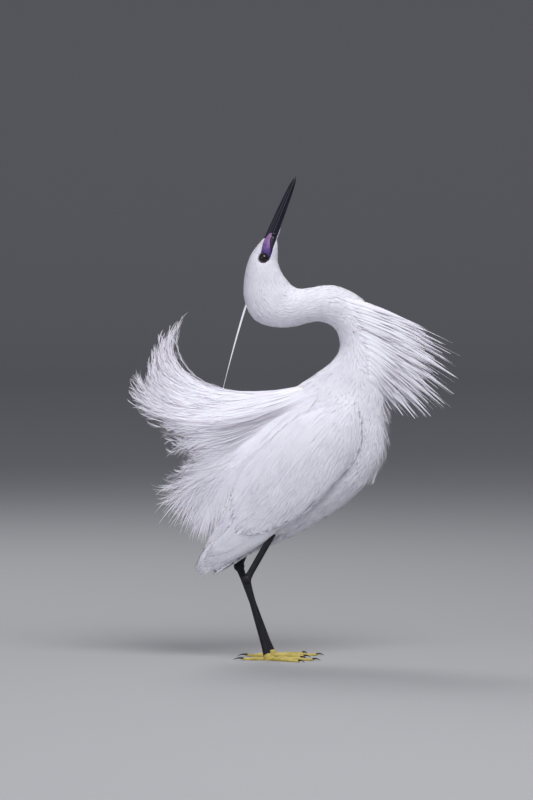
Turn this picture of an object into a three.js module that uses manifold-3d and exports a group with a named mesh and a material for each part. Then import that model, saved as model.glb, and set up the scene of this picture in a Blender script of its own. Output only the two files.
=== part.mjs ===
// A little egret (Egretta garzetta) in breeding plumage, life size, standing with its neck folded back,
// its bill raised and its plumes spread. Millimetres, +Z up, the bird faces +X, its right side is -Y.
// While it is built, X is counted from the feet and Z from the ground. At the end the whole bird is
// moved so that the origin is the middle of the base of its bounding box.

import * as THREE from "three";
import { mergeVertices } from "three/addons/utils/BufferGeometryUtils.js";
import Module from "manifold-3d";

const wasm = await Module();
wasm.setup();

// Driving dimensions
const GAP = 0.4; // between two neighbouring pieces
const SPLINTER = 0.2; // detail finer than this is smoothed away where pieces join
const EYE_RADIUS = 6.4;
const EYE_CENTRE = [-1.8, 8.8, 501.5]; // of the left eye
const BILL_LENGTH = 82; // from the plane where the head's own solid ends
const BILL_DEPTH = 14.5;
const BILL_WIDTH = 12;
const BILL_HEADING = 67.8; // degrees above the horizon
const SHANK_RADIUS = [4.5, 3.6]; // fore and aft, and sideways
const ANKLE_RADIUS = 6;
const STANCE = 24; // each foot's distance from the middle plane
const NECK_PLUME_LENGTH = 148;
const NAPE_PLUME_LENGTH = 107;
const WING_WRAP = 0.14; // how far the wing's edges turn in, as a share of its distance out
const WING_SPLIT = 4.2; // the place in WING where the arm gives way to the flight feathers
const CAPE_SPLIT = 0.22; // the share at which the middle of the cape gives way to its sides
const TAIL_LENGTH = 56; // of the fan behind the vent
const TAIL_END = [-64, 0, 106];
const TAIL_HEADING = 213; // degrees, so left and down

// Where the body is cut across, seen from the side: a point of its front or belly outline, a point of its
// back outline, and half its width there.
const BODY = [
  { place: "bill root", front: [16, 525], back: [-1, 528], half: 7 },
  { place: "lores", front: [16.6, 512], back: [-11.6, 515.5], half: 10.8 },
  { place: "eye", front: [16.4, 497.5], back: [-20, 502], half: 13.6 },
  { place: "crown", front: [21, 484], back: [-25, 484.5], half: 16.2 },
  { place: "nape", front: [33, 469.5], back: [-27.5, 452], half: 17.5 },
  { place: "upper bend", front: [42, 464], back: [-13, 422], half: 19 },
  { place: "upper neck", front: [54, 465], back: [26, 413], half: 19 },
  { place: "middle neck", front: [86, 468.5], back: [69, 421.5], half: 19 },
  { place: "lower bend", front: [124, 450], back: [88.5, 410], half: 20 },
  { place: "lower neck", front: [146, 410], back: [92, 386], half: 22 },
  { place: "neck base", front: [150.5, 355], back: [78, 368.5], half: 28 },
  { place: "shoulders", front: [152, 305], back: [46, 347], half: 34 },
  { place: "breast", front: [152, 255], back: [10, 321], half: 40 },
  { place: "body", front: [124, 212.5], back: [-19, 287.5], half: 41 },
  { place: "belly", front: [70, 171], back: [-41, 241], half: 37 },
  { place: "flank", front: [16, 144], back: [-54, 196], half: 27 },
  { place: "vent", front: [-40, 122], back: [-65, 150], half: 13 },
];

// Where the folded right wing is cut across: its leading edge, its trailing edge, how far out its middle
// lies, and half its thickness.
const WING = [
  { place: "wrist", lead: [112, 316], trail: [97, 325], out: 38, half: 5 },
  { place: "hand", lead: [117, 295], trail: [72, 318], out: 42, half: 9 },
  { place: "forearm", lead: [112, 262], trail: [36, 304], out: 45, half: 10 },
  { place: "elbow", lead: [92, 226], trail: [4, 276], out: 45, half: 9 },
  { place: "secondaries", lead: [56, 190], trail: [-28, 240], out: 41, half: 7 },
  { place: "tertials", lead: [8, 155], trail: [-50, 200], out: 33, half: 5 },
  { place: "primaries", lead: [-34, 128], trail: [-72, 157], out: 24, half: 4 },
  { place: "tip", lead: [-78, 106], trail: [-87, 120], out: 14, half: 2 },
];

// Back plumes from the middle of the back to the flank, seen from the side: where one springs from,
// where it ends, the headings at which it leaves and ends, in degrees above +X, and how strongly it
// keeps to them.
const PLUMES = [
  { place: "middle", root: [62, 351], tip: [-101, 428], leaves: 203, ends: 58, bow: 0.66 },
  { place: "upper rim", root: [60, 348], tip: [-142, 402], leaves: 203, ends: 92, bow: 0.55 },
  { place: "outer rim", root: [58, 342], tip: [-178, 346], leaves: 206, ends: 138, bow: 0.5 },
  { place: "lower rim", root: [56, 334], tip: [-156, 290], leaves: 210, ends: 176, bow: 0.5 },
  { place: "drooping lock", root: [54, 326], tip: [-146, 208], leaves: 216, ends: 196, bow: 0.5 },
  { place: "flank", root: [52, 318], tip: [-84, 162], leaves: 223, ends: 246, bow: 0.5 },
];

// Where the points of the breast spring from, the heading of each and its length.
const BREAST_TUFTS = [
  { at: [145, 304], heading: -58, length: 26 },
  { at: [147, 278], heading: -72, length: 30 },
  { at: [143, 254], heading: -88, length: 30 },
  { at: [137, 244], heading: -96, length: 27 },
];

// The parts that the whole body is parted into, by their places in BODY.
const BODY_PARTS = [
  { name: "head", from: 0, to: 3.55 },
  { name: "neck_upper", from: 3.55, to: 6 },
  { name: "neck_middle", from: 6, to: 7.6 },
  { name: "neck_lower", from: 7.6, to: 10 },
  { name: "trunk", from: 10, to: BODY.length - 1 },
];

// The locks that the back plumes end in: share across the cape and reach.
const MIDDLE_LOCKS = [
  [-0.17, 0.98],
  [-0.09, 0.92],
  [0, 1],
  [0.08, 0.94],
  [0.16, 0.96],
];
const SIDE_LOCKS = [
  [0.27, 1.03],
  [0.35, 0.95],
  [0.43, 1.04],
  [0.51, 0.96],
  [0.59, 1.02],
  [0.67, 0.92],
  [0.75, 0.98],
  [0.82, 1.03],
  [0.88, 1],
  [0.94, 0.95],
];

// The locks that the foreneck plumes end in: rank down the fan, turn across it, and reach.
const NECK_PLUME_ENDS = [
  [0.03, 0, 0.98],
  [0.12, -0.6, 0.9],
  [0.14, 0.6, 0.97],
  [0.25, 0, 1.02],
  [0.34, -0.7, 0.92],
  [0.38, 0.7, 0.97],
  [0.48, 0, 1.03],
  [0.57, -0.6, 0.95],
  [0.62, 0.6, 1.04],
  [0.71, 0, 1.02],
  [0.8, -0.5, 0.98],
  [0.88, 0.5, 1],
];

const WHITE = { color: 0xf1eff4, roughness: 0.85, metalness: 0 };
const PLUME = { color: 0xf7f6fa, roughness: 0.8, metalness: 0 };
const BLACK_HORN = { color: 0x14141c, roughness: 0.4, metalness: 0 };
const BLACK_SKIN = { color: 0x17171b, roughness: 0.55, metalness: 0 };
const YELLOW_SKIN = { color: 0xb9a43a, roughness: 0.6, metalness: 0 };
const EYE_DARK = { color: 0x0c0a08, roughness: 0.1, metalness: 0 };

// General helpers

const radians = (degrees) => (degrees * Math.PI) / 180;
const mix = THREE.MathUtils.lerp;
const steps = (n) => Array.from({ length: n }, (_, i) => i);
const spaced = (n, from, to) => steps(n).map((i) => mix(from, to, i / (n - 1)));

// A closed solid through rings of points, with a flat fan at each end.
function loft(rings) {
  const around = rings[0].length;
  const centre = (ring) =>
    ring.reduce((sum, p) => sum.add(p), new THREE.Vector3()).divideScalar(around);
  const points = [...rings.flat(), centre(rings[0]), centre(rings.at(-1))];
  const [first, last] = [points.length - 2, points.length - 1];
  const faces = [];
  for (let i = 0; i < around; i++) {
    const j = (i + 1) % around;
    faces.push(first, j, i);
    for (let r = 0; r < rings.length - 1; r++) {
      const [a, b] = [r * around, (r + 1) * around];
      faces.push(a + i, a + j, b + j, a + i, b + j, b + i);
    }
    const end = (rings.length - 1) * around;
    faces.push(last, end + i, end + j);
  }
  const geometry = new THREE.BufferGeometry().setFromPoints(points).setIndex(faces);
  const solid = solidOf(geometry);
  if (solid.volume() > 0) return solid;
  faces.reverse();
  return solidOf(geometry.setIndex(faces));
}

function solidOf(geometry) {
  const bare = geometry.clone().deleteAttribute("normal").deleteAttribute("uv");
  const merged = mergeVertices(bare, 1e-4);
  return new wasm.Manifold(
    new wasm.Mesh({
      numProp: 3,
      vertProperties: merged.attributes.position.array,
      triVerts: new Uint32Array(merged.index.array),
    }),
  );
}

// The largest piece of what a cut leaves, without its splinters.
function largest(solid) {
  const pieces = solid.simplify(SPLINTER).decompose();
  return pieces.reduce((a, b) => (b.volume() > a.volume() ? b : a));
}

function cutBy(solid, neighbours) {
  return largest(neighbours.reduce((rest, other) => rest.subtract(other), solid));
}

function joined(solids) {
  return largest(solids.reduce((all, one) => all.add(one)));
}

function meshOf(name, solid, look) {
  const { numProp, vertProperties, triVerts } = solid.getMesh();
  const place = new Float32Array((vertProperties.length / numProp) * 3);
  for (let i = 0; i < place.length / 3; i++)
    place.set(vertProperties.subarray(i * numProp, i * numProp + 3), i * 3);
  const geometry = new THREE.BufferGeometry()
    .setAttribute("position", new THREE.BufferAttribute(place, 3))
    .setIndex(new THREE.BufferAttribute(triVerts, 1));
  geometry.computeVertexNormals();
  const mesh = new THREE.Mesh(geometry, new THREE.MeshStandardMaterial(look));
  mesh.name = name;
  return mesh;
}

// A ring of an ellipse round a point, spanned by two half axes.
function ellipse(centre, a, b, around) {
  return steps(around).map((i) => {
    const angle = (2 * Math.PI * i) / around;
    return centre
      .clone()
      .addScaledVector(a, Math.cos(angle))
      .addScaledVector(b, Math.sin(angle));
  });
}

// A solid along a curve. sizes(t) gives the half axes in the curve's own plane and across it; across is
// the direction that stays square to that plane.
function tube(curve, sizes, { along = 8, around = 8, across = [0, 1, 0] } = {}) {
  const side = new THREE.Vector3(...across).normalize();
  return loft(
    spaced(along + 1, 0, 1).map((t) => {
      const forward = curve.getTangent(t);
      const up = new THREE.Vector3().crossVectors(side, forward).normalize();
      const square = new THREE.Vector3().crossVectors(forward, up).normalize();
      const [high, wide] = sizes(t);
      return ellipse(
        curve.getPoint(t),
        up.multiplyScalar(high),
        square.multiplyScalar(wide),
        around,
      );
    }),
  );
}

// Half sizes along a blade: it swells quickly from its root and narrows to a point.
const bladeSizes = (wide, thick) => (t) => {
  const taper = Math.max(0.12, Math.sqrt(Math.max(0, 1 - t)) * Math.min(1, 0.45 + 3 * t));
  return [wide * taper, Math.max(0.3, thick * taper)];
};

// Body: head, neck and trunk as one loft, then parted

const frontLine = new THREE.CatmullRomCurve3(
  BODY.map(({ front: [x, z], half }) => new THREE.Vector3(x, half, z)),
);
const backLine = new THREE.CatmullRomCurve3(
  BODY.map(({ back: [x, z] }) => new THREE.Vector3(x, 0, z)),
);

// The body's outline at a place counted in BODY's own steps.
function bodyRing(place, grow, around) {
  const t = place / (BODY.length - 1);
  const front = frontLine.getPoint(t);
  const half = front.y;
  front.y = 0;
  const back = backLine.getPoint(t);
  const centre = front.clone().add(back).divideScalar(2);
  const up = back.sub(centre);
  up.setLength(up.length() + grow);
  return ellipse(centre, up, new THREE.Vector3(0, half + grow, 0), around);
}

function bodySolid(from, to, { grow = 0, around = 18, perStation = 3 } = {}) {
  const count = Math.max(3, Math.round((to - from) * perStation) + 1);
  return loft(spaced(count, from, to).map((place) => bodyRing(place, grow, around)));
}

// How far along BODY's steps a gap reaches at a place.
function gapAt(place) {
  const centre = (p) =>
    bodyRing(p, 0, 2)
      .reduce((sum, q) => sum.add(q), new THREE.Vector3())
      .divideScalar(2);
  const near = Math.min(place, BODY.length - 1.1);
  return (0.1 * GAP) / centre(near).distanceTo(centre(near + 0.1));
}

// Breast feathers that stand out of the outline in short points.
function breastTufts() {
  return BREAST_TUFTS.map(({ at: [x, z], heading, length }, i) => {
    const side = i % 2 ? -1 : 1;
    const root = new THREE.Vector3(x, 6 * side, z);
    const forward = new THREE.Vector3(Math.cos(radians(heading)), 0, Math.sin(radians(heading)));
    const curve = new THREE.LineCurve3(root, root.clone().addScaledVector(forward, length));
    return tube(curve, bladeSizes(4, 5), { along: 5, around: 4 });
  });
}

// Head: eyes and bill

function eyeSolid(side, grow = 0) {
  const [x, y, z] = EYE_CENTRE;
  const ball = new THREE.SphereGeometry(EYE_RADIUS + grow, 12, 8);
  return solidOf(ball.translate(x, side * y, z));
}

// The bill lies along its own +X with its ridge up. Each mandible is the half of a dagger that lies on
// its side of the line where they meet.
function mandible(isUpper) {
  const around = 8;
  const overhang = 1.5; // of the upper mandible's tip
  const length = isUpper ? BILL_LENGTH : BILL_LENGTH - overhang;
  const depth = BILL_DEPTH * (isUpper ? 0.56 : 0.44);
  const sign = isUpper ? 1 : -1;
  // It narrows slowly at first, then quickly to its point.
  const taper = (t, slow) => Math.max(0.07, (1 - slow * t) * (1 - t ** 3));
  const rings = spaced(10, 0, 1).map((t) =>
    steps(around).map((i) => {
      const angle = (Math.PI * i) / (around - 1);
      const y = (BILL_WIDTH / 2) * taper(t, 0.45) * Math.cos(angle);
      const z = sign * (GAP / 2 + depth * taper(t, 0.28) * Math.sin(angle) ** 0.8);
      return new THREE.Vector3(length * t, y, z);
    }),
  );
  return loft(rings);
}

function bill() {
  const group = new THREE.Group();
  const [front, back] = [BODY[0].front, BODY[0].back];
  const forward = new THREE.Vector3(
    Math.cos(radians(BILL_HEADING)),
    0,
    Math.sin(radians(BILL_HEADING)),
  );
  group.position
    .set((front[0] + back[0]) / 2, 0, (front[1] + back[1]) / 2)
    .addScaledVector(forward, GAP + 1.2);
  group.rotation.y = -radians(BILL_HEADING);
  group.add(meshOf("bill_upper", mandible(true), BLACK_HORN));
  group.add(meshOf("bill_lower", mandible(false), BLACK_HORN));
  return group;
}

// Wings

function wingSolid(side, from, to, grow = 0) {
  const line = (key) =>
    new THREE.CatmullRomCurve3(
      WING.map((cut) => new THREE.Vector3(cut[key][0], cut.out, cut[key][1])),
    );
  const thickness = new THREE.CatmullRomCurve3(
    WING.map(({ half }) => new THREE.Vector3(half, 0, 0)),
  );
  const [lead, trail] = [line("lead"), line("trail")];
  const count = Math.round((to - from) * 2) + 1;
  const rings = spaced(count, from, to).map((place) => {
    const t = place / (WING.length - 1);
    const centre = lead.getPoint(t).add(trail.getPoint(t)).divideScalar(2);
    const chord = lead.getPoint(t).sub(centre);
    const half = thickness.getPoint(t).x + grow;
    chord.setLength(chord.length() + grow);
    return ellipse(centre, chord, new THREE.Vector3(0, half, 0), 14).map((p) => {
      // The panel wraps the body: its edges lie further in than its middle.
      const off = p.clone().sub(centre).dot(chord) / chord.lengthSq();
      return new THREE.Vector3(p.x, side * (p.y - WING_WRAP * centre.y * off * off), p.z);
    });
  });
  return loft(rings);
}

function tailSolid() {
  const heading = radians(TAIL_HEADING);
  const forward = new THREE.Vector3(Math.cos(heading), 0, Math.sin(heading));
  const end = new THREE.Vector3(...TAIL_END);
  const curve = new THREE.LineCurve3(end.clone().addScaledVector(forward, -TAIL_LENGTH), end);
  return tube(curve, (t) => [mix(5, 2.2, t), mix(13, 20, t)], { along: 3, around: 12 });
}

// Plumes

// The back plumes fall as a cape. share runs from 0 at the middle of the back to 1 at the flank.
const plumeLines = {
  root: new THREE.CatmullRomCurve3(PLUMES.map(({ root: [x, z] }) => new THREE.Vector3(x, 0, z))),
  tip: new THREE.CatmullRomCurve3(PLUMES.map(({ tip: [x, z] }) => new THREE.Vector3(x, 0, z))),
  way: new THREE.CatmullRomCurve3(
    PLUMES.map(({ leaves, ends, bow }) => new THREE.Vector3(leaves, ends, bow)),
  ),
};

function backPlume(side, share, reach = 1) {
  const [root, tip] = [plumeLines.root.getPoint(share), plumeLines.tip.getPoint(share)];
  const way = plumeLines.way.getPoint(share);
  const [leaves, ends, bow] = [radians(way.x), radians(way.y), way.z];
  const length = root.distanceTo(tip);
  const out = (t) => side * (42 * share ** 0.75 + share * 18 * Math.sin(Math.PI * Math.min(1, t)));
  const from = new THREE.Vector3(Math.cos(leaves), 0, Math.sin(leaves));
  const to = new THREE.Vector3(Math.cos(ends), 0, Math.sin(ends));
  const curve = new THREE.CubicBezierCurve3(
    root,
    root.clone().addScaledVector(from, bow * length),
    tip.clone().addScaledVector(to, -0.7 * bow * length),
    tip.clone().addScaledVector(to, (reach - 1) * length),
  );
  const points = spaced(10, 0, 1).map((t) => curve.getPoint(t));
  points.forEach((point, i) => (point.y = out(i / 9)));
  return new THREE.CatmullRomCurve3(points);
}

// A sheet of the cape through the plumes at some shares, over the nearer part of their length.
function capeSheet(shares, { end, thick }) {
  const lines = shares.map((share) => backPlume(Math.sign(share) || 1, Math.abs(share)));
  const rings = spaced(8, 0.02, end).map((t) => {
    const points = lines.map((line) => line.getPoint(t));
    const forward = lines.map((line) => line.getTangent(t));
    const offsets = points.map((_, i) => {
      const [a, b] = [points[Math.max(0, i - 1)], points[Math.min(points.length - 1, i + 1)]];
      const out = new THREE.Vector3().crossVectors(forward[i], b.clone().sub(a)).normalize();
      return out.multiplyScalar(mix(thick, 1.2, t));
    });
    const upper = points.map((point, i) => point.clone().add(offsets[i]));
    const lower = points.map((point, i) => point.clone().sub(offsets[i]));
    return [...upper, ...lower.reverse()];
  });
  return loft(rings);
}

// A lock of plumes that ends the cape, as a flat blade along one plume.
function capeLock(share, reach) {
  const whole = backPlume(Math.sign(share) || 1, Math.abs(share), reach);
  const curve = new THREE.CatmullRomCurve3(spaced(7, 0.5, 1).map((t) => whole.getPoint(t)));
  return tube(curve, bladeSizes(8, 1.4), { along: 5, around: 4 });
}

function cape(shares, locks) {
  const sheet = capeSheet(shares, { end: 0.8, thick: 3.2 });
  return joined([sheet, ...locks.map(([share, reach]) => capeLock(share, reach))]);
}

// The foreneck plumes fan out of the front of the lower neck. rank runs from 0 at the top of the fan to
// 1 at its foot, and turn from -1 to 1 across the bird.
function neckPlume(rank, turn, reach = 1) {
  const root = [mix(108, 128, rank), 11 * turn, mix(446, 352, rank)];
  const length = reach * (NECK_PLUME_LENGTH - 108 * rank ** 3);
  const heading = mix(-17, -49, rank ** 1.2);
  const points = [new THREE.Vector3(...root)];
  for (const i of steps(6)) {
    const angle = radians(heading - i);
    const step = new THREE.Vector3(Math.cos(angle), 0.14 * turn, Math.sin(angle));
    points.push(points.at(-1).clone().addScaledVector(step, length / 6));
  }
  return new THREE.CatmullRomCurve3(points);
}

// The plumes lie close together over the nearer part of their length, as one soft bib.
function neckPlumes() {
  const [top, foot] = [neckPlume(0, 0), neckPlume(1, 0)];
  const bib = loft(
    spaced(7, 0, 0.66).map((t) => {
      const centre = top.getPoint(t).add(foot.getPoint(t)).divideScalar(2);
      const half = new THREE.Vector3(0, mix(18, 14, t / 0.66), 0);
      return ellipse(centre, top.getPoint(t).sub(centre), half, 12);
    }),
  );
  const ends = NECK_PLUME_ENDS.map(([rank, turn, reach]) => {
    const whole = neckPlume(rank, turn, reach);
    const curve = new THREE.CatmullRomCurve3(spaced(5, 0.2, 1).map((t) => whole.getPoint(t)));
    return tube(curve, bladeSizes(6, 3.2), { along: 5, around: 4 });
  });
  return joined([bib, ...ends]);
}

function napePlume(side) {
  const root = new THREE.Vector3(-28.5, side * 2.2, 440);
  const curve = new THREE.QuadraticBezierCurve3(
    root,
    root.clone().add(new THREE.Vector3(-11, side * 1.5, -0.4 * NAPE_PLUME_LENGTH)),
    root.clone().add(new THREE.Vector3(-25, side * 4, -0.95 * NAPE_PLUME_LENGTH)),
  );
  return tube(curve, (t) => [mix(0.8, 0.5, t), mix(0.9, 0.5, t)], { along: 10, around: 6 });
}

// Legs

// Each leg's joints, seen from the side.
const LEGS = [
  { side: "right", y: -1, hip: [30, 188], knee: [2, 139], ankle: [-23, 100.5], foot: [3, 7.5] },
  { side: "left", y: 1, hip: [6, 184], knee: [-11, 149], ankle: [-32.5, 114], foot: [8, 7.5] },
];

function thighSolid(leg, grow = 0) {
  const [hip, knee] = [legPoint(leg, leg.hip, 0.7), legPoint(leg, leg.knee)];
  return tube(
    new THREE.LineCurve3(hip, knee),
    (t) => [mix(20, 5.8, t ** 0.8) + grow, mix(15, 5.4, t ** 0.8) + grow],
    { along: 5, around: 12 },
  );
}

function legPoint(leg, [x, z], spread = 1) {
  return new THREE.Vector3(x, leg.y * STANCE * spread, z);
}

// A bare stretch of leg between two joints, thicker at each end by the share that ends gives.
function shankSolid(from, to, ends) {
  const [high, wide] = SHANK_RADIUS;
  const swell = (t) => Math.exp(-((t / 0.12) ** 2));
  const sizes = (t) => {
    const bulge = ends[0] * swell(t) + ends[1] * swell(1 - t);
    return [high * (0.92 + bulge), wide * (0.95 + 0.8 * bulge)];
  };
  return tube(new THREE.LineCurve3(from, to), sizes, { along: 9, around: 8 });
}

function ball(centre, radius) {
  const place = [centre.x, centre.y, centre.z];
  return solidOf(new THREE.SphereGeometry(radius, 10, 7).translate(...place));
}

// A toe lies along the ground: round above and flat below.
function toeSolid(start, angle, { length, thick }) {
  const forward = new THREE.Vector3(Math.cos(angle), Math.sin(angle), 0);
  const across = new THREE.Vector3(-Math.sin(angle), Math.cos(angle), 0);
  return loft(
    spaced(6, 0, 1).map((t) => {
      const pads = 1 + 0.12 * Math.cos(6 * Math.PI * t);
      const radius = thick * mix(1, 0.62, t) * pads;
      const centre = start.clone().addScaledVector(forward, length * t);
      centre.z = radius * 0.55;
      const half = across.clone().multiplyScalar(radius);
      const ring = ellipse(centre, half, new THREE.Vector3(0, 0, radius), 8);
      return ring.map((p) => new THREE.Vector3(p.x, p.y, Math.max(0, p.z)));
    }),
  );
}

// A claw curves down from the end of its toe to the ground.
function clawSolid(start, angle, { length, thick }) {
  const forward = new THREE.Vector3(Math.cos(angle), Math.sin(angle), 0);
  const tip = start.clone().addScaledVector(forward, length);
  const high = start.clone().addScaledVector(forward, 0.55 * length);
  start.z = thick + 0.9;
  high.z = 2.6 * thick;
  tip.z = 0.35;
  return tube(
    new THREE.QuadraticBezierCurve3(start, high, tip),
    (t) => [mix(thick, 0.3, t), mix(0.8 * thick, 0.3, t)],
    { along: 4, around: 6, across: [-forward.y, forward.x, 0] },
  );
}

const TOES = [
  { name: "inner", degrees: -19, length: 43, thick: 3.3, claw: 9 },
  { name: "middle", degrees: 8, length: 57, thick: 3.5, claw: 10 },
  { name: "outer", degrees: 36, length: 48, thick: 3.3, claw: 9 },
  { name: "hind", degrees: 180, length: 30, thick: 3.3, claw: 13 },
];

// The middle of the foot, where its toes meet: flat below.
function palmSolid(leg, grow = 0) {
  const sizes = [6.2, 5.6, 7.6].map((size) => size + grow);
  const palm = new THREE.SphereGeometry(1, 10, 6).rotateX(Math.PI / 2).scale(...sizes);
  palm.translate(leg.foot[0], leg.y * STANCE, 0.6);
  const place = palm.attributes.position;
  for (const i of steps(place.count)) place.setZ(i, Math.max(0, place.getZ(i)));
  return solidOf(palm);
}

function footMeshes(leg) {
  const centre = new THREE.Vector3(leg.foot[0], leg.y * STANCE, 0);
  const toes = TOES.map(({ degrees, length, thick }) =>
    toeSolid(centre, leg.y * radians(degrees), { length, thick }),
  );
  const solid = joined([palmSolid(leg), ...toes]);
  const foot = meshOf(`foot_${leg.side}`, solid, YELLOW_SKIN);
  const claws = TOES.map(({ name, degrees, length, claw }) => {
    const angle = leg.y * radians(degrees);
    const start = centre.clone();
    start.x += Math.cos(angle) * (length + GAP);
    start.y += Math.sin(angle) * (length + GAP);
    const horn = clawSolid(start, angle, { length: claw, thick: 1.5 });
    return meshOf(`claw_${leg.side}_${name}`, horn, BLACK_HORN);
  });
  return [foot, ...claws];
}

// Assembly

const bird = new THREE.Group();
const sides = [
  { name: "right", y: -1 },
  { name: "left", y: 1 },
];

// The whole body, the eyes and the wings, each a gap larger: other pieces are cut by them.
const grownBody = bodySolid(0, BODY.length - 1, { grow: GAP });
const grownEyes = sides.map(({ y }) => eyeSolid(y, GAP));
const lastWing = WING.length - 1;
const grownWings = sides.map(({ y }) => wingSolid(y, 0, lastWing, GAP));

for (const { name, from, to } of BODY_PARTS) {
  const end = name === "trunk" ? to : to - gapAt(to);
  const plain = bodySolid(from, end, { perStation: name === "trunk" ? 2 : 3 });
  const solid =
    name === "head"
      ? cutBy(plain, grownEyes)
      : name === "trunk"
        ? joined([plain, ...breastTufts()])
        : plain;
  bird.add(meshOf(name, solid, WHITE));
}
for (const { name, y } of sides)
  bird.add(meshOf(`eye_${name}`, eyeSolid(y), EYE_DARK));
bird.add(bill());

for (const { name, y } of sides) {
  const arm = wingSolid(y, 0, WING_SPLIT - 0.012);
  const flight = wingSolid(y, WING_SPLIT, lastWing);
  bird.add(meshOf(`wing_${name}_arm`, cutBy(arm, [grownBody]), WHITE));
  bird.add(meshOf(`wing_${name}_flight`, cutBy(flight, [grownBody]), WHITE));
}
bird.add(meshOf("tail", cutBy(tailSolid(), [grownBody, ...grownWings]), WHITE));

const capeNeighbours = [grownBody, ...grownWings];
const edge = 0.01; // in shares, half of the gap between two parts of the cape
const middle = cape(spaced(7, edge - CAPE_SPLIT, CAPE_SPLIT - edge), MIDDLE_LOCKS);
bird.add(meshOf("plumes_middle", cutBy(middle, capeNeighbours), PLUME));
for (const { name, y } of sides) {
  const shares = spaced(8, CAPE_SPLIT + edge, 1).map((share) => share * y);
  const locks = SIDE_LOCKS.map(([share, reach]) => [share * y, reach]);
  const solid = cutBy(cape(shares, locks), capeNeighbours);
  bird.add(meshOf(`plumes_${name}`, solid, PLUME));
}

bird.add(meshOf("neck_plumes", cutBy(neckPlumes(), [grownBody]), PLUME));
for (const { name, y } of sides)
  bird.add(meshOf(`nape_plume_${name}`, cutBy(napePlume(y), [grownBody]), PLUME));

for (const leg of LEGS) {
  const [knee, ankle, foot] = [leg.knee, leg.ankle, leg.foot].map((p) => legPoint(leg, p));
  const around = [grownBody, ...grownWings];
  const shank = shankSolid(knee, ankle, [0, 0.3]);
  const shankNeighbours = [...around, thighSolid(leg, GAP), ball(ankle, ANKLE_RADIUS + GAP)];
  const tarsus = joined([ball(ankle, ANKLE_RADIUS), shankSolid(ankle, foot, [0.3, 0.25])]);
  const footNeighbour = palmSolid(leg, GAP);
  bird.add(meshOf(`thigh_${leg.side}`, cutBy(thighSolid(leg), around), WHITE));
  bird.add(meshOf(`shank_${leg.side}`, cutBy(shank, shankNeighbours), BLACK_SKIN));
  bird.add(meshOf(`tarsus_${leg.side}`, cutBy(tarsus, [footNeighbour]), BLACK_SKIN));
  bird.add(...footMeshes(leg));
}

// The origin goes to the middle of the base of the bounding box.
const egret = new THREE.Group();
egret.add(bird);
const box = new THREE.Box3().setFromObject(bird, true);
bird.position.set(-(box.min.x + box.max.x) / 2, -(box.min.y + box.max.y) / 2, -box.min.z);

export default egret;
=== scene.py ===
# A little egret in breeding plumage as a life-size still model: one skin over the flesh, feathers and
# plumes as thin solid blades, a horn bill, glossy eyes, scaled legs and toes. Lengths that describe the
# bird are in millimetres, counted from its feet as seen from its right side, and at() turns them into
# metres in the frame.

import itertools
import math

import bmesh
import bpy
import numpy as np
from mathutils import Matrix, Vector
from mathutils.bvhtree import BVHTree


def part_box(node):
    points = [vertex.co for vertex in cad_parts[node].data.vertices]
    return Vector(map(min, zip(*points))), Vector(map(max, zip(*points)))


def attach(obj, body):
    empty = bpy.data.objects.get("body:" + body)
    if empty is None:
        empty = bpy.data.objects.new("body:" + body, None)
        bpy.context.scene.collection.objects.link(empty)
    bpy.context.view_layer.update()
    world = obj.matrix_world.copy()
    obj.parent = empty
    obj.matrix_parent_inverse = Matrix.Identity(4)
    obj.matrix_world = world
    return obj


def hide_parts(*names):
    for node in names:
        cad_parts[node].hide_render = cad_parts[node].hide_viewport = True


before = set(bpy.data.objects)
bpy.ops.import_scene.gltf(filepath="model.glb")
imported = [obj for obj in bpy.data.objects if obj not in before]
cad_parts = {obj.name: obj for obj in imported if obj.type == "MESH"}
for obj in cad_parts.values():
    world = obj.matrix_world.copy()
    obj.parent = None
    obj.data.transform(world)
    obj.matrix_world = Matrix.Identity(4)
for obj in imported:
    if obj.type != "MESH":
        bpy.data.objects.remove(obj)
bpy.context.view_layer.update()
rng = np.random.default_rng(7)

ACROSS = np.array([0.0, 1.0, 0.0])
UP = np.array([0.0, 0.0, 1.0])

# Places and sizes of the bird, in millimetres

EYE = np.array([-1.8, 8.8, 501.5])
EYE_RADIUS = 6.4
LID_RADIUS = 5.45
LID_HEIGHT = 3.3  # above the eye's middle
BILL_BASE = np.array([7.5, 0.0, 526.5])
BILL_HEADING = 67.8  # degrees above the horizon
BILL_LENGTH = 83.6
BILL_SUNK = 6.0  # how far its root lies in the head
BILL_DEPTH = 14.0
BILL_WIDTH = 12.0
STANCE = 24.0  # how far each leg stands from the middle
SIDES = {"right": -1, "left": 1}

# The line down the middle of the bird from its bill to its tail, seen from the side.
AXIS = {
    "bill root": (7.5, 526.5),
    "lores": (2.5, 513.8),
    "eye": (-1.8, 499.8),
    "crown": (-2.0, 484.3),
    "nape": (2.8, 460.8),
    "upper bend": (14.5, 443.0),
    "upper neck": (40.0, 439.0),
    "middle neck": (77.5, 445.0),
    "lower bend": (106.3, 430.0),
    "lower neck": (119.0, 398.0),
    "neck base": (114.3, 361.8),
    "shoulders": (99.0, 326.0),
    "breast": (81.0, 288.0),
    "body": (52.5, 250.0),
    "belly": (14.5, 206.0),
    "flank": (-19.0, 170.0),
    "vent": (-52.5, 136.0),
}

# Back plumes from the middle of the back (share 0) to the flank (share 1): root x and z, tip x and z,
# the headings at which a plume leaves and ends, and how strongly it keeps to them.
CAPE = np.array(
    [
        (62, 351, -101, 428, 203, 58, 0.66),
        (60, 348, -142, 402, 203, 92, 0.55),
        (58, 342, -178, 346, 206, 138, 0.5),
        (56, 334, -156, 290, 210, 176, 0.5),
        (54, 326, -146, 208, 216, 196, 0.5),
        (52, 318, -84, 162, 223, 246, 0.5),
    ],
    float,
)

# The folded wing's long axis, seen from the side.
WRIST = np.array([110.0, 319.0])
WING_HEADING = 227.5

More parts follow.
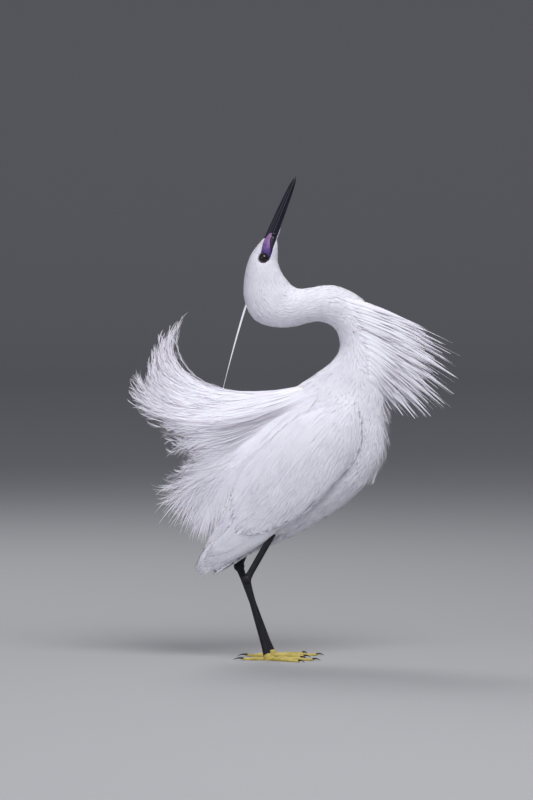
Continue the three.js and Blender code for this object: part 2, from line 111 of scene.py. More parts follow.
eye_low, eye_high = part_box("eye_right")
SHIFT = np.array([(eye_low[0] + eye_high[0]) / 2 * 1000 - EYE[0], 0.0, 0.0])


def at(points):
    """Millimetres from the feet to metres in the frame."""
    return (np.asarray(points, float) + SHIFT) / 1000


def heading(degrees):
    """The unit vector in the XZ plane at an angle above +X."""
    a = np.radians(degrees)
    return np.stack([np.cos(a), np.zeros_like(a), np.sin(a)], -1)


def unit(v):
    """v at length 1."""
    return v / np.maximum(np.linalg.norm(v, axis=-1, keepdims=True), 1e-12)


def smooth(a, b, x):
    """0 below a, 1 above b, and a smooth rise between."""
    t = np.clip((x - a) / (b - a), 0, 1)
    return t * t * (3 - 2 * t)


def looked_up(x, table):
    """The value at x in a table of pairs."""
    return np.interp(x, *np.transpose(table))


# Materials


class Nodes:
    """A few words to wire a material's nodes with."""

    def __init__(self, name):
        self.material = bpy.data.materials.new(name)
        self.material.use_nodes = True
        self.tree = self.material.node_tree
        self.shader = self.tree.nodes["Principled BSDF"]

    def add(self, kind, **values):
        node = self.tree.nodes.new(kind)
        for key, value in values.items():
            if key in node.inputs:
                node.inputs[key].default_value = value
            else:
                setattr(node, key, value)
        return node

    def link(self, source, target):
        self.tree.links.new(source, target)

    def set(self, **values):
        for key, value in values.items():
            self.shader.inputs[key.replace("_", " ")].default_value = value

    def noise(self, scale, detail=3.0, stretch=(1, 1, 1)):
        where = self.add("ShaderNodeTexCoord")
        size = self.add("ShaderNodeMapping", Scale=stretch)
        noise = self.add("ShaderNodeTexNoise", Scale=scale, Detail=detail)
        self.link(where.outputs["Object"], size.inputs["Vector"])
        self.link(size.outputs["Vector"], noise.inputs["Vector"])
        return noise.outputs["Fac"]

    def ramp(self, source, stops):
        ramp = self.add("ShaderNodeValToRGB")
        elements = ramp.color_ramp.elements
        while len(elements) < len(stops):
            elements.new(0.5)
        for element, (place, color) in zip(elements, stops):
            element.position = place
            element.color = (*color, 1)
        self.link(source, ramp.inputs["Fac"])
        self.link(ramp.outputs["Color"], self.shader.inputs["Base Color"])

    def bump(self, source, strength, distance):
        bump = self.add("ShaderNodeBump", Strength=strength, Distance=distance)
        self.link(source, bump.inputs["Height"])
        self.link(bump.outputs["Normal"], self.shader.inputs["Normal"])


def feather_material(name, low, high, barbs=0.0, sheen=0.35):
    """White feather: faint mottling, silky sheen, and barb lines where a vane is broad."""
    m = Nodes(name)
    m.set(Roughness=0.62, Sheen_Weight=sheen, Sheen_Roughness=0.4, Specular_IOR_Level=0.3)
    m.set(Subsurface_Weight=0.12, Subsurface_Scale=0.004)
    m.ramp(m.noise(55.0), [(0.3, low), (0.7, high)])
    if barbs:
        where = m.add("ShaderNodeUVMap", uv_map="vane")
        wave = m.add("ShaderNodeTexWave", Scale=barbs, Distortion=1.5, Detail=2.0)
        wave.bands_direction = "DIAGONAL"
        m.link(where.outputs["UV"], wave.inputs["Vector"])
        m.bump(wave.outputs["Fac"], 0.35, 0.0006)
    return m.material


def horn_material(name, low, high, roughness, scale=60.0, stretch=(1, 1, 1), coat=0.3):
    m = Nodes(name)
    m.set(Roughness=roughness, Coat_Weight=coat, Coat_Roughness=0.25, Specular_IOR_Level=0.35)
    m.ramp(m.noise(scale, 6.0, stretch), [(0.35, low), (0.7, high)])
    m.bump(m.noise(scale * 6, 4.0, stretch), 0.25, 0.0004)
    return m.material


def scaled_material(name, low, high, roughness, size):
    """Bird's leg skin: small plates with dark creases between them."""
    m = Nodes(name)
    m.set(Roughness=roughness, Specular_IOR_Level=0.32)
    where = m.add("ShaderNodeTexCoord")
    plates = m.add("ShaderNodeTexVoronoi", Scale=size, feature="DISTANCE_TO_EDGE")
    m.link(where.outputs["Object"], plates.inputs["Vector"])
    m.ramp(m.noise(140.0, 5.0), [(0.3, low), (0.7, high)])
    edge = m.add("ShaderNodeMapRange", **{"From Max": 0.12})
    m.link(plates.outputs["Distance"], edge.inputs["Value"])
    m.bump(edge.outputs["Result"], 0.5, 0.0005)
    return m.material


WHITE = feather_material("feather_white", (0.82, 0.79, 0.86), (0.91, 0.885, 0.95))
VANE = feather_material("vane_white", (0.83, 0.80, 0.86), (0.92, 0.895, 0.95), barbs=14.0)
PLUME = feather_material("plume_white", (0.88, 0.855, 0.93), (0.94, 0.915, 0.98), sheen=0.5)
SKIN = feather_material("skin_white", (0.74, 0.72, 0.76), (0.84, 0.82, 0.85), sheen=0.1)
BILL = horn_material(
    "bill_horn", (0.003, 0.003, 0.009), (0.008, 0.009, 0.028), 0.34, 40, (1, 1, 0.3), 0.1
)
CLAW = horn_material("claw_horn", (0.01, 0.01, 0.012), (0.03, 0.028, 0.03), 0.35)
LEG = scaled_material("leg_black", (0.004, 0.004, 0.007), (0.012, 0.012, 0.02), 0.5, 420.0)
FOOT = scaled_material("foot_yellow", (0.42, 0.33, 0.06), (0.62, 0.52, 0.15), 0.5, 420.0)


def lore_material():
    """Bare violet skin, deep by the eye and pinkish towards the bill."""
    m = Nodes("lore_violet")
    m.set(Roughness=0.5, Coat_Weight=0.1)
    where = m.add("ShaderNodeTexCoord")
    parts = m.add("ShaderNodeSeparateXYZ")
    rise = m.add("ShaderNodeMapRange", **{"From Min": 0.500, "From Max": 0.530})
    m.link(where.outputs["Object"], parts.inputs["Vector"])
    m.link(parts.outputs["Z"], rise.inputs["Value"])
    spots = m.add("ShaderNodeMath", operation="MULTIPLY_ADD")
    spots.inputs[1].default_value = 0.7
    m.link(m.noise(260.0, 5.0), spots.inputs[0])
    m.link(rise.outputs["Result"], spots.inputs[2])
    shift = m.add("ShaderNodeMath", operation="SUBTRACT")
    shift.inputs[1].default_value = 0.35
    m.link(spots.outputs["Value"], shift.inputs[0])
    stops = [
        (0.05, (0.015, 0.008, 0.05)),
        (0.35, (0.055, 0.022, 0.18)),
        (0.62, (0.17, 0.075, 0.27)),
        (0.95, (0.25, 0.13, 0.29)),
    ]
    m.ramp(shift.outputs["Value"], stops)
    m.bump(m.noise(900.0, 4.0), 0.3, 0.0004)
    return m.material


LORE = lore_material()
LID = horn_material("eyelid_dark", (0.02, 0.012, 0.04), (0.07, 0.04, 0.10), 0.5, 200, coat=0.1)


def eye_material():
    """A nearly black eye with a wet shine."""
    m = Nodes("eye_dark")
    m.set(Roughness=0.05, Coat_Weight=0.35, Coat_Roughness=0.02, Specular_IOR_Level=0.25)
    m.ramp(m.noise(300.0), [(0.3, (0.004, 0.003, 0.003)), (0.8, (0.016, 0.011, 0.008))])
    return m.material


EYE_LOOK = eye_material()

# Meshes


def read(items, name, width=1, kind=np.int32):
    """One property of all the items of a mesh, in rows where it has more than one value."""
    values = np.empty(len(items) * width, kind)
    items.foreach_get(name, values)
    return values.reshape(-1, width) if width > 1 else values


def bilinear(grid, i, j):
    """A grid's values at places between its points."""
    i = np.clip(i, 0, grid.shape[0] - 1.001)
    j = np.clip(j, 0, grid.shape[1] - 1.001)
    i0, j0 = i.astype(int), j.astype(int)
    fi, fj = i - i0, j - j0
    near = grid[i0, j0] * (1 - fi) + grid[i0 + 1, j0] * fi
    far = grid[i0, j0 + 1] * (1 - fi) + grid[i0 + 1, j0 + 1] * fi
    return near * (1 - fj) + far * fj


def bent(a, b, c, steps):
    """Points along a curve from a to c that leans towards b."""
    s = np.linspace(0, 1, steps)[:, None]
    return a * (1 - s) ** 2 + 2 * b * s * (1 - s) + c * s**2


def outward(points, faces):
    """The faces, turned so that they enclose a positive volume."""
    a, b, c = (points[faces[:, k]] - points.mean(0) for k in range(3))
    volume = (np.cross(a, b) * c).sum()
    return faces if volume > 0 else faces[:, ::-1]


def mesh_object(name, points, faces, material, slot=None):
    """A smooth mesh. Without a slot it isn't a piece of the model."""
    mesh = bpy.data.meshes.new(name)
    points = np.asarray(points, np.float32)
    faces = np.asarray(faces, np.int32)
    if slot:
        faces = np.ascontiguousarray(outward(points, faces))
    sides = faces.shape[1]
    mesh.vertices.add(len(points))
    mesh.vertices.foreach_set("co", points.ravel())
    mesh.loops.add(faces.size)
    mesh.loops.foreach_set("vertex_index", faces.ravel())
    mesh.polygons.add(len(faces))
    mesh.polygons.foreach_set("loop_start", np.arange(0, faces.size, sides, dtype=np.int32))
    mesh.polygons.foreach_set("loop_total", np.full(len(faces), sides, np.int32))
    mesh.polygons.foreach_set("use_smooth", np.full(len(faces), True))
    mesh.materials.append(material)
    mesh.update(calc_edges=True)
    mesh.validate()
    obj = bpy.data.objects.new(name, mesh)
    bpy.context.scene.collection.objects.link(obj)
    if slot:
        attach(obj, "root")
    return obj


def loft_faces(rings, around):
    """Triangles of one closed loft, as offsets into its own points."""
    faces = []
    for r in range(rings - 1):
        for i in range(around):
            j = (i + 1) % around
            a, b = r * around, (r + 1) * around
            faces += [(a + i, a + j, b + j), (a + i, b + j, b + i)]
    end = (rings - 1) * around
    for i in range(1, around - 1):
        faces += [(0, i + 1, i), (end, end + i, end + i + 1)]
    return np.array(faces)


def lofted(name, rings, material, slot, node=None):
    """A closed loft through rings of points in millimetres, in the place of a CAD node if one is given."""
    faces = loft_faces(*rings.shape[:2])
    obj = mesh_object(name, at(rings.reshape(-1, 3)), faces, material, slot)
    if node:
        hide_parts(node)
    return obj


def set_uv(obj, name, values):
    """One UV per vertex, written to every corner."""
    layer = obj.data.uv_layers.new(name=name)
    corners = read(obj.data.loops, "vertex_index")
    layer.data.foreach_set("uv", values[corners].astype(np.float32).ravel())


PATCH = 0.003  # a tuft's size on the skin's unwrap
MOST_TRIANGLES = 180000  # in one piece


def two_sided(obj, upper, lower, faces_below):
    """Gives the faces of each loft's upper and lower side their own shading normals."""
    mesh = obj.data
    corners = read(mesh.loops, "vertex_index")
    below = np.repeat(np.resize(faces_below, len(mesh.polygons)), 3)
    ways = np.where(below[:, None], lower.reshape(-1, 3)[corners], upper.reshape(-1, 3)[corners])
    mesh.normals_split_custom_set(ways.tolist())


def coat_pieces(name, rings, roots, material, slot, vane_scale=None, normals=None):
    """Lofts of shape (count, rings, around, 3) as joined meshes, each under the limit. roots holds the
    place of each on the skin's unwrap, and normals those of the lofts' upper and lower sides."""
    count, along, around, _ = rings.shape
    faces = loft_faces(along, around)
    middle = (np.arange(around) + 0.5) * 2 * np.pi / around
    faces_below = np.tile(np.repeat(np.sin(middle) < 0, 2), along - 1)
    faces_below = np.append(faces_below, np.full(len(faces) - len(faces_below), False))
    per_piece = MOST_TRIANGLES // len(faces)
    t, s = np.meshgrid(np.linspace(0, 1, along), np.linspace(0, 1, around), indexing="ij")
    local = np.stack([s, t], -1).reshape(1, -1, 2)
    pieces = []
    for number, start in enumerate(range(0, count, per_piece)):
        part = rings[start : start + per_piece]
        n = len(part)
        all_faces = (faces[None] + (np.arange(n) * along * around)[:, None, None]).reshape(-1, 3)
        obj = mesh_object(f"{name}_{number + 1}", part.reshape(-1, 3), all_faces, material, slot)
        if normals is not None:
            upper, lower = (ways[start : start + per_piece] for ways in normals)
            two_sided(obj, upper, lower, faces_below)
        if vane_scale is not None:
            across = np.abs(s - 0.5) * 2
            vane = np.stack([across, t * vane_scale], -1).reshape(1, -1, 2)
            set_uv(obj, "vane", np.repeat(vane, n, 0).reshape(-1, 2))
        uv = roots[start : start + per_piece, None, :] + PATCH * (local - 0.5)
        set_uv(obj, "OFBake", np.clip(uv, 0, 1).reshape(-1, 2))
        obj.data.uv_layers["OFBake"].active = True
        pieces.append(obj)
    return pieces


def section(count):
    """Points round a cross-section: (across, out) pairs of unit size."""
    a = 2 * np.pi * np.arange(count) / count
    return np.stack([np.cos(a), np.sin(a)], -1)


def soft_normals(side, out, around, tilt):
    """Shading normals of blades, for their upper and lower sides: mostly the way out of the coat or into
    it, turned a little to each side."""
    ring = section(around)
    turned = side[:, :, None] * (tilt * ring[:, 0])[:, None]
    return unit(turned + out[:, :, None]), unit(turned - out[:, :, None])


def sideways(out, line):
    """The ways across blades that follow lines of the shape (count, along, 3)."""
    return unit(np.cross(out, unit(np.gradient(line, axis=1))))


def blades(centre, side, out, half_width, half_thick, around=4):
    """Rings along many centre lines at once. centre, side and out have the shape (count, along, 3)."""
    ring = section(around)
    return (
        centre[:, :, None]
        + side[:, :, None] * (ring[:, 0] * half_width[..., None])[..., None]
        + out[:, :, None] * (ring[:, 1] * half_thick[..., None])[..., None]
    )


# The skin

WINGS = ["wing_right_arm", "wing_right_flight", "wing_left_arm", "wing_left_flight"]
NECK_AND_HEAD = ["head", "neck_upper", "neck_middle", "neck_lower"]
FLESH = NECK_AND_HEAD + ["trunk", "tail", "thigh_right", "thigh_left"] + WINGS
VOXEL = 0.0025  # of the mesh that joins the flesh
THIGH_END = 161.0
COAT_DEPTH = [(0, 0.9), (3, 1.2), (5, 2.2), (9, 2.6), (11, 3.2), (16, 3.2)]  # over the skin, by station

axis_points = np.array([(x, 0.0, z) for x, z in AXIS.values()])
fine = np.linspace(0, len(axis_points) - 1, 400)
axis_line = np.stack(
    [np.interp(fine, np.arange(len(axis_points)), axis_points[:, k]) for k in range(3)], -1
)
for _ in range(6):
    axis_line[1:-1] = (axis_line[:-2] + 2 * axis_line[1:-1] + axis_line[2:]) / 4
axis_way = unit(np.gradient(axis_line, axis=0))


def along_axis(points):
    """Where metres in the frame lie along the bird: the station, counted in AXIS, and the way down."""
    mm = points * 1000 - SHIFT
    station = np.empty(len(mm))
    way = np.empty((len(mm), 3))
    for start in range(0, len(mm), 4000):
        block = mm[start : start + 4000]
        gap = (block[:, None, 0] - axis_line[None, :, 0]) ** 2
        gap += (block[:, None, 2] - axis_line[None, :, 2]) ** 2
        nearest = gap.argmin(1)
        station[start : start + 4000] = fine[nearest]
        way[start : start + 4000] = axis_way[nearest]
    return station, way


def joined_nodes(names, grow=0.0):
    """The CAD nodes' meshes as one, each swollen by grow metres so that neighbours meet."""
    joined = bmesh.new()
    for name in names:
        part = bmesh.new()
        part.from_mesh(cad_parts[name].data)
        bmesh.ops.remove_doubles(part, verts=part.verts, dist=1e-6)
        part.normal_update()
        for vert in part.verts:
            vert.co += vert.normal * grow
        copy = bpy.data.meshes.new("part")
        part.to_mesh(copy)
        joined.from_mesh(copy)
        bpy.data.meshes.remove(copy)
        part.free()
    mesh = bpy.data.meshes.new("joined")
    joined.to_mesh(mesh)
    joined.free()
    return mesh


def apply_modifier(obj, kind, **values):
    """Gives obj the mesh that a modifier makes of it."""
    modifier = obj.modifiers.new(kind, kind)
    for key, value in values.items():
        setattr(modifier, key, value)
    depsgraph = bpy.context.evaluated_depsgraph_get()
    mesh = bpy.data.meshes.new_from_object(obj.evaluated_get(depsgraph))
    obj.modifiers.clear()
    old = obj.data
    obj.data = mesh
    bpy.data.meshes.remove(old)


def mesh_arrays(mesh):
    """The places and normals of a mesh's points."""
    points = read(mesh.vertices, "co", 3, np.float32)
    normals = read(mesh.vertices, "normal", 3, np.float32)
    return points.astype(float), normals.astype(float)


def tree_of(mesh):
    """A tree that finds the mesh's nearest places and what rays hit of it."""
    points, _ = mesh_arrays(mesh)
    return BVHTree.FromPolygons(points.tolist(), [tuple(p.vertices) for p in mesh.polygons])


def relax(mesh, points, share, rounds):
    """Draws each point towards the middle of its neighbours, as far as its share says."""
    a, b = read(mesh.edges, "vertices", 2).T
    count = np.bincount(a, minlength=len(points)) + np.bincount(b, minlength=len(points))
    for _ in range(rounds):
        for k in range(3):
            total = np.bincount(a, points[b, k], len(points))
            total += np.bincount(b, points[a, k], len(points))
            points[:, k] += share * 0.6 * (total / np.maximum(count, 1) - points[:, k])
    mesh.vertices.foreach_set("co", points.astype(np.float32).ravel())
    mesh.update()


def build_skin():
    """One smooth mesh over the flesh, drawn in by the coat's depth."""
    skin = bpy.data.objects.new("skin", joined_nodes(FLESH, 0.0004))
    bpy.context.scene.collection.objects.link(skin)
    apply_modifier(skin, "REMESH", mode="VOXEL", voxel_size=VOXEL, use_smooth_shade=True)
    apply_modifier(skin, "SMOOTH", factor=0.5, iterations=8)
    points, _ = mesh_arrays(skin.data)
    mm = points * 1000 - SHIFT
    wide = np.abs(mm[:, 1])
    # The CAD's breast tufts and the folded wings' edges relax under the coat.
    spiky = smooth(112, 124, mm[:, 0]) * smooth(215, 228, mm[:, 2]) * (1 - smooth(308, 325, mm[:, 2]))
    relax(skin.data, points, spiky, 90)
    front = smooth(46, 66, mm[:, 0]) * (1 - smooth(128, 136, mm[:, 0])) * smooth(18, 26, wide)
    front *= smooth(225, 250, mm[:, 2]) * (1 - smooth(340, 356, mm[:, 2]))
    relax(skin.data, points, front, 40)
    points, normals = mesh_arrays(skin.data)
    station, _ = along_axis(points)
    depth = looked_up(station, COAT_DEPTH)
    # It is thinner on the wings.
    side_out = np.abs(points[:, 1]) * 1000
    depth = np.where((side_out > 34) & (station > 9.5), 1.4, depth)
    points -= normals * (depth / 1000)[:, None]
    # The thighs' ends draw up under the body's feathers.
    thigh = (np.abs(mm[:, 0] - 4) < 26) & (wide > 12) & (wide < 36)
    below = np.maximum(THIGH_END - points[:, 2] * 1000, 0)
    points[:, 2] += np.where(thigh, 0.75 * below, 0) / 1000
    skin.data.vertices.foreach_set("co", points.astype(np.float32).ravel())
    skin.data.materials.clear()
    skin.data.materials.append(SKIN)
    skin.data.polygons.foreach_set("use_smooth", np.full(len(skin.data.polygons), True))
    skin.data.update()
    bpy.context.view_layer.objects.active = skin
    bpy.ops.object.select_all(action="DESELECT")
    skin.select_set(True)
    bpy.ops.object.mode_set(mode="EDIT")
    bpy.ops.mesh.select_all(action="SELECT")
    bpy.ops.uv.smart_project(angle_limit=math.radians(66), island_margin=0.002)
    bpy.ops.object.mode_set(mode="OBJECT")
    skin.data.uv_layers[0].name = "OFBake"
    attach(skin, "root")
    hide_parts(*FLESH)
    return skin


skin = build_skin()
skin_points, _ = mesh_arrays(skin.data)
skin_tree = tree_of(skin.data)
skin.data.calc_loop_triangles()
skin_uv = read(skin.data.uv_layers["OFBake"].data, "uv", 2, np.float32)
first_corner = read(skin.data.polygons, "loop_start")
corner_count = read(skin.data.polygons, "loop_total")


def on_skin(points):
    """The nearest places on the skin, the normals there, and their places on its unwrap."""
    place = np.empty((len(points), 3))
    normal = np.empty((len(points), 3))
    uv = np.empty((len(points), 2))
    for i, point in enumerate(points):
        where, way, face, _ = skin_tree.find_nearest(Vector(point))
        place[i], normal[i] = where, way
        start = first_corner[face]
        uv[i] = skin_uv[start : start + corner_count[face]].mean(0)
    return place, normal, uv


TRIES = 3.0  # roots tried for each square of the spacing
CELL = 0.012  # of the grid that finds a root's neighbours, wider than any spacing


def scattered(spacings, keep):
    """Roots spread over the skin, as far apart as a table by station says, where keep says so."""
    triangles = read(skin.data.loop_triangles, "vertices", 3)
    a, b, c = (skin_points[triangles[:, k]] for k in range(3))
    area = np.linalg.norm(np.cross(b - a, c - a), axis=1) / 2
    station, _ = along_axis((a + b + c) / 3)
    spacing = looked_up(station, spacings) / 1000
    count = rng.poisson(TRIES * area / spacing**2)
    which = np.repeat(np.arange(len(triangles)), count)
    rng.shuffle(which)
    u, v = rng.random((2, len(which)))
    over = u + v > 1
    u[over], v[over] = 1 - u[over], 1 - v[over]
    points = a[which] + u[:, None] * (b - a)[which] + v[:, None] * (c - a)[which]
    good = keep(points, station[which])
    points, gap = points[good], spacing[which][good]
    grid = {}
    chosen = []
    cells = np.floor(points / CELL).astype(int)
    around = list(itertools.product((-1, 0, 1), repeat=3))
    for i, (key, point) in enumerate(zip(map(tuple, cells), points)):
        limit = gap[i] ** 2
        near = grid.get(key, ())
        if any(((point - points[j]) ** 2).sum() < limit for j in near):
            continue
        chosen.append(i)
        for dx, dy, dz in around:
            neighbour = (key[0] + dx, key[1] + dy, key[2] + dz)
            grid.setdefault(neighbour, []).append(i)
    return points[chosen]


WING_WAY = heading(WING_HEADING)[[0, 2]]
WING_UP = np.array([-WING_WAY[1], WING_WAY[0]])  # towards the leading edge, which lies low
wing_tree = tree_of(joined_nodes(WINGS))


# The bare face in rows up its side: z, the near edge of the violet lores, the edge where they meet the
# dark gape, and the gape's far edge, all x.
FACE = np.array(
    [
        (500.5, 1.0, 5.0, 5.2),
        (503.5, -1.5, 6.6, 6.9),
        (507.5, -4.2, 7.2, 8.4),
        (511.0, -4.0, 7.0, 9.4),
        (514.5, -3.4, 6.6, 10.2),
        (518.0, -2.6, 6.2, 11.4),
        (521.5, -1.6, 6.0, 12.8),
        (525.5, 0.0, 6.6, 14.6),
        (528.0, 2.4, 7.6, 15.2),
        (530.5, 4.7, 8.2, 15.2),
        (532.5, 6.4, 8.4, 14.6),
    ]
)


def face_bare(mm):
    """True where the face has no feathers: round the eye, on the lores and along the gape."""
    x, y, z = mm.T
    near = np.interp(z, FACE[:, 0], FACE[:, 1])
    far = np.interp(z, FACE[:, 0], FACE[:, 3])
    bare = (z > 501) & (z < 532) & (x > near) & (x < far)
    round_eye = np.hypot(x - EYE[0], z - EYE[2]) < 5.9
    return (np.abs(y) > 3.5) & (bare | round_eye)


def wing_places(points):
    """How surely each point is on a folded wing's outer face, and the feathers' way there."""
    mm = points * 1000 - SHIFT
    flat = mm[:, [0, 2]] - WRIST
    u = flat @ WING_WAY
    v = flat @ WING_UP
    share = np.zeros(len(points))
    for i in np.nonzero((np.abs(mm[:, 1]) > 16) & (mm[:, 2] < 345))[0]:
        gap = wing_tree.find_nearest(Vector(points[i]), 0.008)[3]
        if gap is not None:
            share[i] = 1 - smooth(0.003, 0.008, gap)
    share *= smooth(16, 26, np.abs(mm[:, 1]))
    lead = np.clip(0.5 + v / 80, 0, 1)
    return share, heading(229 + (6 + 14 * lead) * (1 - smooth(90, 210, u))), u


FAN_TOP = 450.0  # of the foreneck plumes
FAN_DEPTH = 94.0
NECK_FRONT = [(340, 112), (370, 112), (400, 114), (430, 106), (450, 96)]  # z and x of the foreneck


def lie(points):
    """The station, the way the feathers lie, and the share and place along a wing."""
    station, way = along_axis(points)
    share, wing_way, u = wing_places(points)
    mm = points * 1000 - SHIFT
    level = (FAN_TOP - mm[:, 2]) / FAN_DEPTH
    front = looked_up(mm[:, 2], NECK_FRONT)
    fan = smooth(-4, 14, mm[:, 0] - front) * smooth(-0.25, 0.05, level) * (1 - smooth(1.0, 1.3, level))
    fan = 0.85 * fan[:, None]
    way = unit(way * (1 - fan) + heading(-24 - 30 * np.clip(level, 0, 1)) * fan)
    way = unit(way * (1 - share)[:, None] + wing_way * share[:, None])
    return station, way, share, u


# The tufts, in millimetres by station along the bird: how far apart their roots are, and their length, half
# width and rise at the tip.
TUFT_SPACING = [(0, 0.9), (1.5, 1.0), (3, 1.3), (4.5, 1.8), (8, 2.1), (10, 2.5), (12, 3.0), (16, 3.2)]
TUFT_LENGTH = [(0, 2.6), (1.5, 3.2), (3, 5.5), (5, 10), (8, 13), (10, 17), (12, 20), (16, 20)]
TUFT_WIDTH = [(0, 0.5), (1.5, 0.62), (3, 0.95), (5, 1.4), (8, 1.9), (10, 2.4), (12, 2.9), (16, 3.0)]
TUFT_RISE = [(0, 0.5), (3, 0.9), (8, 1.7), (12, 2.6)]
# The last three on the wings, by the distance from the wrist.
WING_TUFT_LENGTH = [(0, 13), (25, 20), (90, 33), (180, 34)]
WING_TUFT_WIDTH = [(0, 1.9), (30, 2.5), (100, 3.4)]
WING_TUFT_RISE = [(0, 1.5), (40, 1.9), (120, 2.2), (200, 1.4)]
TUFT_TAPER = np.array([0.8, 1.0, 0.72, 0.08])


def build_tufts():
    """Short pointed tufts over the head, neck, body and wings, lying from the bill to the tail."""

    def grows(points, station):
        return ~face_bare(points * 1000 - SHIFT) & (station > 0.25)

    roots = scattered(TUFT_SPACING, grows)
    count = len(roots)
    station, way, wing, u = lie(roots)
    length = looked_up(station, TUFT_LENGTH) * (1 - wing) + looked_up(u, WING_TUFT_LENGTH) * wing
    width = looked_up(station, TUFT_WIDTH) * (1 - wing) + looked_up(u, WING_TUFT_WIDTH) * wing
    raised = looked_up(station, TUFT_RISE) * (1 - wing) + looked_up(u, WING_TUFT_RISE) * wing
    length *= rng.uniform(0.8, 1.25, count)
    width *= rng.uniform(0.85, 1.2, count)
    steps = len(TUFT_TAPER)
    line = np.empty((count, steps, 3))
    outs = np.empty((count, steps, 3))
    place, normal, uv = on_skin(roots)
    side_drift = rng.normal(0, 0.07, count)
    free = np.full(count, False)
    sharp = np.full(count, False)
    point = place
    for k in range(steps):
        line[:, k] = point
        outs[:, k] = normal
        if k == steps - 1:
            break
        if k:
            _, way, _, _ = lie(point)
        flat = unit(way - normal * (way * normal).sum(1, keepdims=True))
        across = np.cross(normal, flat)
        flat = unit(flat + across * side_drift[:, None])
        step = point + flat * (length / (steps - 1) / 1000)[:, None]
        landed, turned, _ = on_skin(step)
        # At a sharp edge or crease a tuft runs straight on, as a feather does.
        bend = (turned * outs[:, 0]).sum(1)
        free |= bend < 0.6
        sharp |= bend < 0.25
        point = np.where(free[:, None], point + 0.3 * (step - point), landed)
        normal = np.where(free[:, None], normal, turned)
    t = np.linspace(0, 1, steps)
    lift = raised[:, None] * (0.10 + 0.90 * t**0.7) * rng.uniform(0.92, 1.05, (count, 1))
    line += outs * (lift / 1000)[..., None]
    side = sideways(outs, line)
    half_width = width[:, None] / 1000 * TUFT_TAPER
    half_thick = np.clip(half_width * 0.14, 0.00006, 0.0002)
    rings = blades(line, side, outs, half_width, half_thick)
    normals = soft_normals(side, outs, 4, 0.25)
    order = np.argsort(station)
    order = order[~sharp[order]]
    normals = [ways[order] for ways in normals]
    return coat_pieces("tufts", rings[order], uv[order], WHITE, "plumage", normals=normals)


build_tufts()

# The wings' quills

GRID = (40, 17)  # points of a wing's height field, along it and across


class Wing:
    """The outer face of one folded wing as a height field over its own plane: u runs from the wrist to
    the tip in millimetres, r from 0 at the trailing edge to 1 at the leading edge."""

    def __init__(self, name, side):
        self.side = side
        nodes = [f"wing_{name}_arm", f"wing_{name}_flight"]
        points = np.concatenate([mesh_arrays(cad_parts[n].data)[0] for n in nodes])
        mm = points * 1000 - SHIFT
        flat = mm[:, [0, 2]] - WRIST
        u, v = flat @ WING_WAY, flat @ WING_UP
        self.grid_u = np.linspace(u.min(), u.max(), GRID[0])
        low, high = [], []
        for centre in self.grid_u:
            near = np.abs(u - centre) < 9
            low.append(v[near].min())
            high.append(v[near].max())
        kernel = np.array([1, 2, 3, 2, 1]) / 9
        self.low = np.convolve(np.pad(low, 2, "edge"), kernel, "valid")
        self.high = np.convolve(np.pad(high, 2, "edge"), kernel, "valid")
        tree = tree_of(joined_nodes(nodes))
        self.height = np.empty(GRID)
        for i, centre in enumerate(self.grid_u):
            for j, r in enumerate(np.linspace(0, 1, GRID[1])):
                x, z = self.plane(centre, 0.03 + 0.94 * r)
                start = Vector(at((x, side * 200.0, z)))
                hit = tree.ray_cast(start, Vector((0, -side, 0)))[0]
                if hit is None:
                    hit = tree.find_nearest(Vector(at((x, side * 40.0, z))))[0]
                self.height[i, j] = abs(hit.y) * 1000

    def plane(self, u, r):
        """The x and z of a place on the wing."""
        low = np.interp(u, self.grid_u, self.low)
        high = np.interp(u, self.grid_u, self.high)
        v = low + (high - low) * r
        flat = WRIST + np.multiply.outer(u, WING_WAY) + np.multiply.outer(v, WING_UP)
        return flat[..., 0], flat[..., 1]

    def point(self, u, r, off):
        """Metres in the frame at a place on the wing, off millimetres above its face."""
        x, z = self.plane(u, r)
        i = (u - self.grid_u[0]) / (self.grid_u[1] - self.grid_u[0])
        y = bilinear(self.height, i, r * (GRID[1] - 1))
        return at(np.stack([x, self.side * (y + off), z], -1))


# The quills' ranks: where they start and end along the wing, how far apart they are, the quills' length
# and half width, the share of the wing's breadth that a rank covers, and its count.
PRIMARIES = dict(start=128, end=150, rank=5.5, length=135, half=9.5, low=0.25, high=0.97, count=7)


def vane_rows(wing, start, end, rank, length, half, low, high, count):
    """Broad feathers in ranks across the wing."""
    u0, r0, size = [], [], []
    for number, u in enumerate(np.arange(start, end + 0.1, rank)):
        shift = 0.5 * (number % 2)
        for k in range(count):
            r = low + (high - low) * (k + 0.5 + shift - 0.25) / count
            u0.append(u + rng.uniform(-1.6, 1.6))
            r0.append(np.clip(r + rng.normal(0, 0.008), 0.0, 1.0))
            size.append(rng.uniform(0.92, 1.08))
    u0, r0, size = map(np.array, (u0, r0, size))
    limit = wing.grid_u[-1] + 2
    long = np.minimum(length * size, limit - u0)
    along = 10
    t = np.linspace(0, 1, along)
    u = u0[:, None] + long[:, None] * t
    r = np.repeat(r0[:, None], along, 1)
    breadth = np.interp(u, wing.grid_u, wing.high - wing.low)
    shape = np.array([0.35, 0.7, 0.92, 1.0, 1.0, 0.97, 0.9, 0.76, 0.52, 0.1])
    half_r = half * shape / np.maximum(breadth, 14)
    off = 3.6 * t - 3.2
    ring = section(8)
    rr = r[:, :, None] + half_r[:, :, None] * ring[:, 0]
    rr = np.clip(rr, -0.03, 1.03)
    edge = np.abs(ring[:, 0]) ** 2
    thick = np.where(ring[:, 1] > 0, 0.35, 0.2) * ring[:, 1]
    offs = off[None, :, None] + thick - 0.55 * edge
    uu = np.repeat(u[:, :, None], 8, 2)
    return wing.point(uu, rr, offs)


